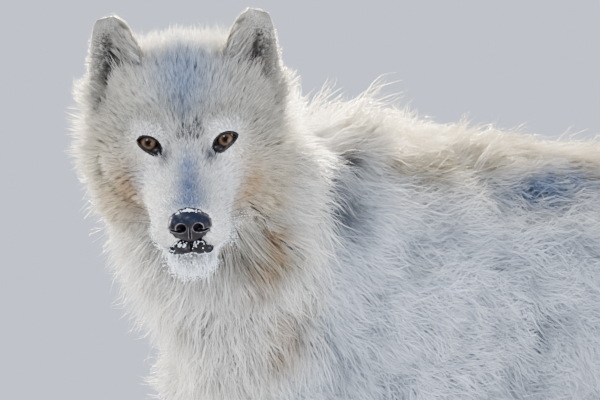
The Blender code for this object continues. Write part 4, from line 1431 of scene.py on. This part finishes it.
# %% Grow each part of the coat
COATS = (
    #  name, where, locks, spacing in millimetres, gather, stray, slot
    ("coat_face_left", "left_face_tufts", "short", 1.45, 0.3, 0.25, "winter_coat"),
    ("coat_face_right", "right_face_tufts", "short", 1.45, 0.3, 0.25, "winter_coat"),
    ("coat_crown", "crown_tufts", "middle", 2.45, 0.5, 0.3, "mane_coat"),
    ("coat_ears", "ear_tufts", "short", 1.3, 0.3, 0.26, "winter_coat"),
    ("coat_neck_left", "left_neck_tufts", "long", 4.1, 0.9, 0.4, "mane_coat"),
    ("coat_neck_right", "right_neck_tufts", "long", 4.1, 0.9, 0.4, "mane_coat"),
    ("coat_shoulder_left", "left_shoulder_tufts", "broad", 5.4, 1.3, 0.45, "winter_coat"),
    ("coat_shoulder_right", "right_shoulder_tufts", "broad", 5.4, 1.3, 0.45, "winter_coat"),
    ("coat_flank_left", "left_flank_tufts", "broad", 5.4, 1.3, 0.45, "winter_coat"),
    ("coat_flank_right", "right_flank_tufts", "broad", 5.4, 1.3, 0.45, "winter_coat"),
    ("coat_beard", "beard_tufts", "beard", 2.0, 0.5, 0.3, "winter_coat"),
    ("coat_wool", "wool_tufts", "wool", 6.6, 0.5, 1.2, "mane_coat"),
    ("coat_hackles", "hackle_tufts", "hackle", 13.0, 0.5, 0.8, "mane_coat"),
    ("coat_limbs", "limb_tufts", "middle", 5.4, 0.4, 0.26, "leg_coat"),
    ("coat_feet", "foot_tufts", "short", 5.0, 0.3, 0.26, "leg_coat"),
    ("coat_tail", "tail_tufts", "broad", 4.8, 0.6, 0.3, "winter_coat"),
)


def grow(name, where, kind, spacing, gather, stray, seed):
    piece = add_piece(name, skin.data)
    growth = piece.modifiers.new("growth", "NODES")
    growth.node_group = coat_nodes
    values = {
        "Locks": locks[kind],
        "Where": where,
        "Spacing": spacing * MM,
        "Lock reach": LOCKS[kind][2] * MM,
        "Gather": gather,
        "Stray": stray,
        "Seed": seed,
        "Finish": bpy.data.materials["winter_hair"],
    }
    for item in coat_nodes.interface.items_tree:
        if item.name in values:
            growth[item.identifier] = values[item.name]
    settled(piece)
    piece.data.name = name
    return piece


coats = []
for number, (*settings, slot) in enumerate(COATS):
    coat = grow(*settings, number)
    coats.append(coat)
    coat.data.calc_loop_triangles()
    print(coat.name, len(coat.data.loop_triangles), "triangles")
for group in locks.values():
    for tuft in list(group.objects):
        bpy.data.objects.remove(tuft)
    bpy.data.collections.remove(group)
print(sum(len(coat.data.loop_triangles) for coat in coats), "triangles of coat")

# %% [markdown]
# ## Whiskers
# Stiff dark whiskers stand out of the pads in rows, longer towards the cheek.

# %% Whiskers
WHISKER_ROOTS = (
    #  out, back, height, length, in millimetres
    (27, -97, -46, 40),
    (29, -88, -44, 50),
    (28, -92, -50, 44),
    (26, -106, -57, 30),
    (29, -97, -56, 40),
    (31, -87, -55, 46),
    (26, -105, -66, 26),
    (29, -95, -65, 34),
)


def whiskers(work):
    for side in (-1, 1):
        for number, (x, y, z, long) in enumerate(WHISKER_ROOTS):
            root = uncut_face.find_nearest(HEAD @ (Vector((side * x, y, z)) * MM))[0]
            out = Vector((side * (1.0 + 0.1 * (number % 3)), 0.25 + 0.12 * (number % 4), 0.5 - 0.07 * number))
            out = (HEAD.to_3x3() @ out).normalized()
            steps = np.linspace(-0.05, 1, 8)
            points = [root + out * long * MM * t - Vector((0, 0, 7 * MM * t * t)) for t in steps]
            strand(work, points, [0.2 * MM * (1 - t) + 0.04 * MM for t in np.linspace(0, 1, 8)], around=5)


whisker_piece = add_piece("whiskers", mesh_of(whiskers, "whiskers"))
whisker_piece.data.materials.append(bpy.data.materials["claw_horn"])
print(2 * len(WHISKER_ROOTS), "whiskers")

# %% [markdown]
# ## Frost
# Breath has frozen on the muzzle: crumbs of rime lie on the nose, the lips and the whisker pads and fill the
# beard, and from the chin hang small icy strands and a few longer icicles. Each crumb is a squashed ball of a
# few dozen faces. It is dropped around a named spot and settles on whatever lies nearest, nose, lips or hair.

# %% Frost
CRUMBS = (
    #  middle, half spread in millimetres in the head's frame, how many, size, and depth of hair below it
    ((-0.5, -124, -33), (3.6, 3, 1.5), 16, 1.5, 1),
    ((-12, -122, -35.5), (1.6, 3, 2), 5, 1.0, 1),
    ((-7, -124, -35), (1.5, 3, 1), 3, 0.8, 1),
    ((6, -124, -35), (1.8, 3, 1), 4, 0.8, 1),
    ((11, -122, -36.5), (1.8, 3, 1.5), 4, 0.8, 1),
    ((-15, -119, -69), (3.5, 3, 3.0), 26, 1.1, 2),
    ((-8, -121, -69.5), (4.2, 3, 1.8), 24, 1.0, 2),
    ((-18, -116, -76), (5, 3, 1.2), 16, 0.9, 2),
    ((9.5, -120, -69.5), (5.5, 3, 2.2), 34, 1.1, 2),
    ((14, -118, -67), (3, 3, 1.5), 14, 1.0, 2),
    ((25, -110, -73), (3, 4, 6), 60, 1.0, 3),
    ((-25, -110, -73), (3, 4, 6), 60, 1.0, 3),
    ((10, -118, -79), (9, 3, 1.2), 14, 0.7, 2),
    ((0, -119, -81), (19, 3, 0.8), 44, 0.75, 2),
    ((0, -115, -84.5), (24, 4, 1.5), 90, 0.9, 4),
    ((0, -106, -93), (26, 8, 9), 800, 0.8, 18),
    ((26, -106, -64), (8, 8, 12), 260, 0.5, 5),
    ((-26, -106, -64), (8, 8, 12), 260, 0.5, 5),
    ((48, -30, -90), (16, 14, 14), 420, 0.6, 20),
)
STRANDS = 130
ICICLES = (
    #  out and height of the lower end, in millimetres in the head's frame
    (-12, -112),
    (-9.5, -115),
    (-5, -109),
    (3, -110),
    (13, -109),
    (16.5, -115),
)
chance = np.random.default_rng(7)


def onto_muzzle(spot, hair=0.0):
    """The nearest place on nose or lips, or in the hair that far over the skin, and the way out of it."""
    found = [surface.find_nearest(spot) for surface in (nose_tree, lip_tree, skin_tree)]
    hit = min(found, key=lambda each: each[3])
    return hit[0] + hit[1] * (hair if hit is found[2] else 0.0), hit[1]


def crumb_shape():
    work = bmesh.new()
    ball(work, Vector(), Vector((1, 1, 1)), segments=8)
    shape = [v.co.copy() for v in work.verts], [[v.index for v in f.verts] for f in work.faces]
    work.free()
    return shape


def crumbs():
    """One mesh of all the crumbs, each a small ball squashed and turned by chance."""
    ball_corners, ball_faces = crumb_shape()
    corners, faces = [], []
    for centre, apart, count, size, hair in CRUMBS:
        for _ in range(count):
            spot = HEAD @ (Vector(np.array(centre) + chance.normal(0, 0.6, 3) * apart) * MM)
            place, outward = onto_muzzle(spot, chance.uniform(0.2, 1.0) * hair * MM)
            half = chance.uniform(0.4, 1.0, 3) * size * MM
            turn = Matrix.Rotation(chance.uniform(0, math.pi), 4, outward) @ Matrix.Diagonal((*half, 1))
            turn = Matrix.Translation(place + outward * 0.3 * size * MM) @ turn
            faces += [[len(corners) + i for i in ring] for ring in ball_faces]
            corners += [turn @ corner for corner in ball_corners]
    mesh = bpy.data.meshes.new("crumbs")
    mesh.from_pydata(corners, [], faces)
    return mesh


def rime(work):
    work.from_mesh(crumbs())
    for _ in range(STRANDS):
        across = chance.uniform(-28, 26)
        end = -107 + 24 * abs(across / 28) ** 3 + chance.normal(0, 2.5)
        root, outward = onto_muzzle(HEAD @ (Vector((across * 0.9, -104, end + chance.uniform(10, 20))) * MM))
        tip = HEAD @ (Vector((across + chance.normal(0, 1.5), -104 + chance.normal(0, 4), end)) * MM)
        swing = outward * chance.uniform(1, 3) * MM
        points = [root.lerp(tip, t) + swing * math.sin(math.pi * t) for t in np.linspace(0, 1, 5)]
        radii = [(1.0 - 0.85 * t) * MM * chance.uniform(0.7, 1.1) for t in np.linspace(0, 1, 5)]
        strand(work, points, radii, around=5)
    for across, end in ICICLES:
        top, tip = (HEAD @ (Vector((across * 0.9, -106, z)) * MM) for z in (end + 22, end))
        points = [top.lerp(tip, t) for t in np.linspace(0, 1, 7)]
        radii = [(1.2 - 0.9 * t) * MM * chance.uniform(0.7, 1.2) for t in np.linspace(0, 1, 7)]
        strand(work, points, radii, around=6)


frost = add_piece("frost", mesh_of(rime, "frost"))
frost.data.materials.append(bpy.data.materials["rime"])
frost.data.shade_smooth()
print("frost:", sum(row[2] for row in CRUMBS), "crumbs and", STRANDS, "strands")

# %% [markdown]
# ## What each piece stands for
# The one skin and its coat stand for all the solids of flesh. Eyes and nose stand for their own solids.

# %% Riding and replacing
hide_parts(*FLESH, *LIMBS, *PAWS, "ear_left", "ear_right")
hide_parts("nose")
for word in ("left", "right"):
    globe = bpy.data.objects["globe_" + word]
    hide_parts("eye_" + word)
for piece in [o for o in bpy.context.scene.objects if o.type == "MESH" and o.name not in frame["nodes"]]:
    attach(piece, "root")
print("pieces ride on the root body")

# %% [markdown]
# ## Floor, light and camera
# A pale floor and a pale blue-grey surround, as on a snowy day. Two soft lights stand in front, and three behind
# light the edges of the coat. The camera looks slightly down at the head from five metres.

# %% Floor
FLOOR_RADIUS = 1.6


def disk(work):
    just_below = Matrix.Translation((0, 0, -0.5 * MM))
    bmesh.ops.create_circle(work, cap_ends=True, segments=96, radius=FLOOR_RADIUS, matrix=just_below)


floor = add_piece("floor", mesh_of(disk, "floor"))
floor.data.materials.append(bpy.data.materials["pale_floor"])

# %% Light
bpy.context.scene.view_settings.look = "AgX - Medium High Contrast"
world = bpy.data.worlds.new("snowy_day")
world.use_nodes = True
bpy.context.scene.world = world
surround = world.node_tree.nodes["Background"]
surround.inputs["Color"].default_value = (*linear("#C9D0DF"), 1)
surround.inputs["Strength"].default_value = 1.15
HEAD_SPOT = HEAD @ Vector((0, 0, 0))


CAMERA_TURN, CAMERA_RISE = LOOK_TURN, math.radians(1)
level = math.cos(CAMERA_RISE)
backward = Vector((math.sin(CAMERA_TURN) * level, -math.cos(CAMERA_TURN) * level, math.sin(CAMERA_RISE)))
rightward = Vector((math.cos(CAMERA_TURN), math.sin(CAMERA_TURN), 0))
upward = backward.cross(rightward)
LAMPS = (
    #  name, how far towards the camera, right and up of the head, size, watts, colour and beam in degrees
    ("front", 2.2, -0.9, 1.8, 1.0, 83, "#F1F5FF", 180),
    ("front_right", 2.0, 1.7, -0.6, 1.6, 82, "#F1F5FF", 180),
    ("rim_above", -1.5, 0.5, 1.6, 1.0, 80, "#FFF1DA", 180),
    ("rim_left", -1.2, -1.8, 0.7, 1.0, 195, "#FFFAF0", 180),
    ("rim_head", -1.9, 0.2, 0.8, 0.6, 30, "#FFF3DC", 24),
)


def softbox(name, spot, size, watts, code, beam):
    """A round soft light at a spot, turned to the head."""
    light = bpy.data.lights.new(name, "AREA")
    light.shape = "DISK"
    light.size = size
    light.energy = watts
    light.color = linear(code)
    light.spread = math.radians(beam)
    lamp = bpy.data.objects.new(name, light)
    bpy.context.scene.collection.objects.link(lamp)
    facing = (spot - HEAD_SPOT).to_track_quat("Z", "Y").to_matrix().to_4x4()
    lamp.matrix_world = Matrix.Translation(spot) @ facing


for name, near, right, up, *settings in LAMPS:
    softbox(name, HEAD_SPOT + backward * near + rightward * right + upward * up, *settings)
print(len(LAMPS), "lights")

# %% Camera
CAMERA_DISTANCE, CAMERA_LENS = 5.0, 300
AIM_RIGHT, AIM_DOWN = 0.1125, 0.056  # from between the eyes to the middle of the view
camera_target = HEAD @ Vector((0, -3 * MM, 0)) + rightward * AIM_RIGHT - upward * AIM_DOWN
camera = bpy.data.objects.new("camera", bpy.data.cameras.new("camera"))
bpy.context.scene.collection.objects.link(camera)
camera.data.lens = CAMERA_LENS
camera.data.sensor_width = 36
camera.data.clip_end = 50
turn = backward.to_track_quat("Z", "Y").to_matrix().to_4x4()
camera.matrix_world = Matrix.Translation(camera_target + backward * CAMERA_DISTANCE) @ turn
bpy.context.scene.camera = camera
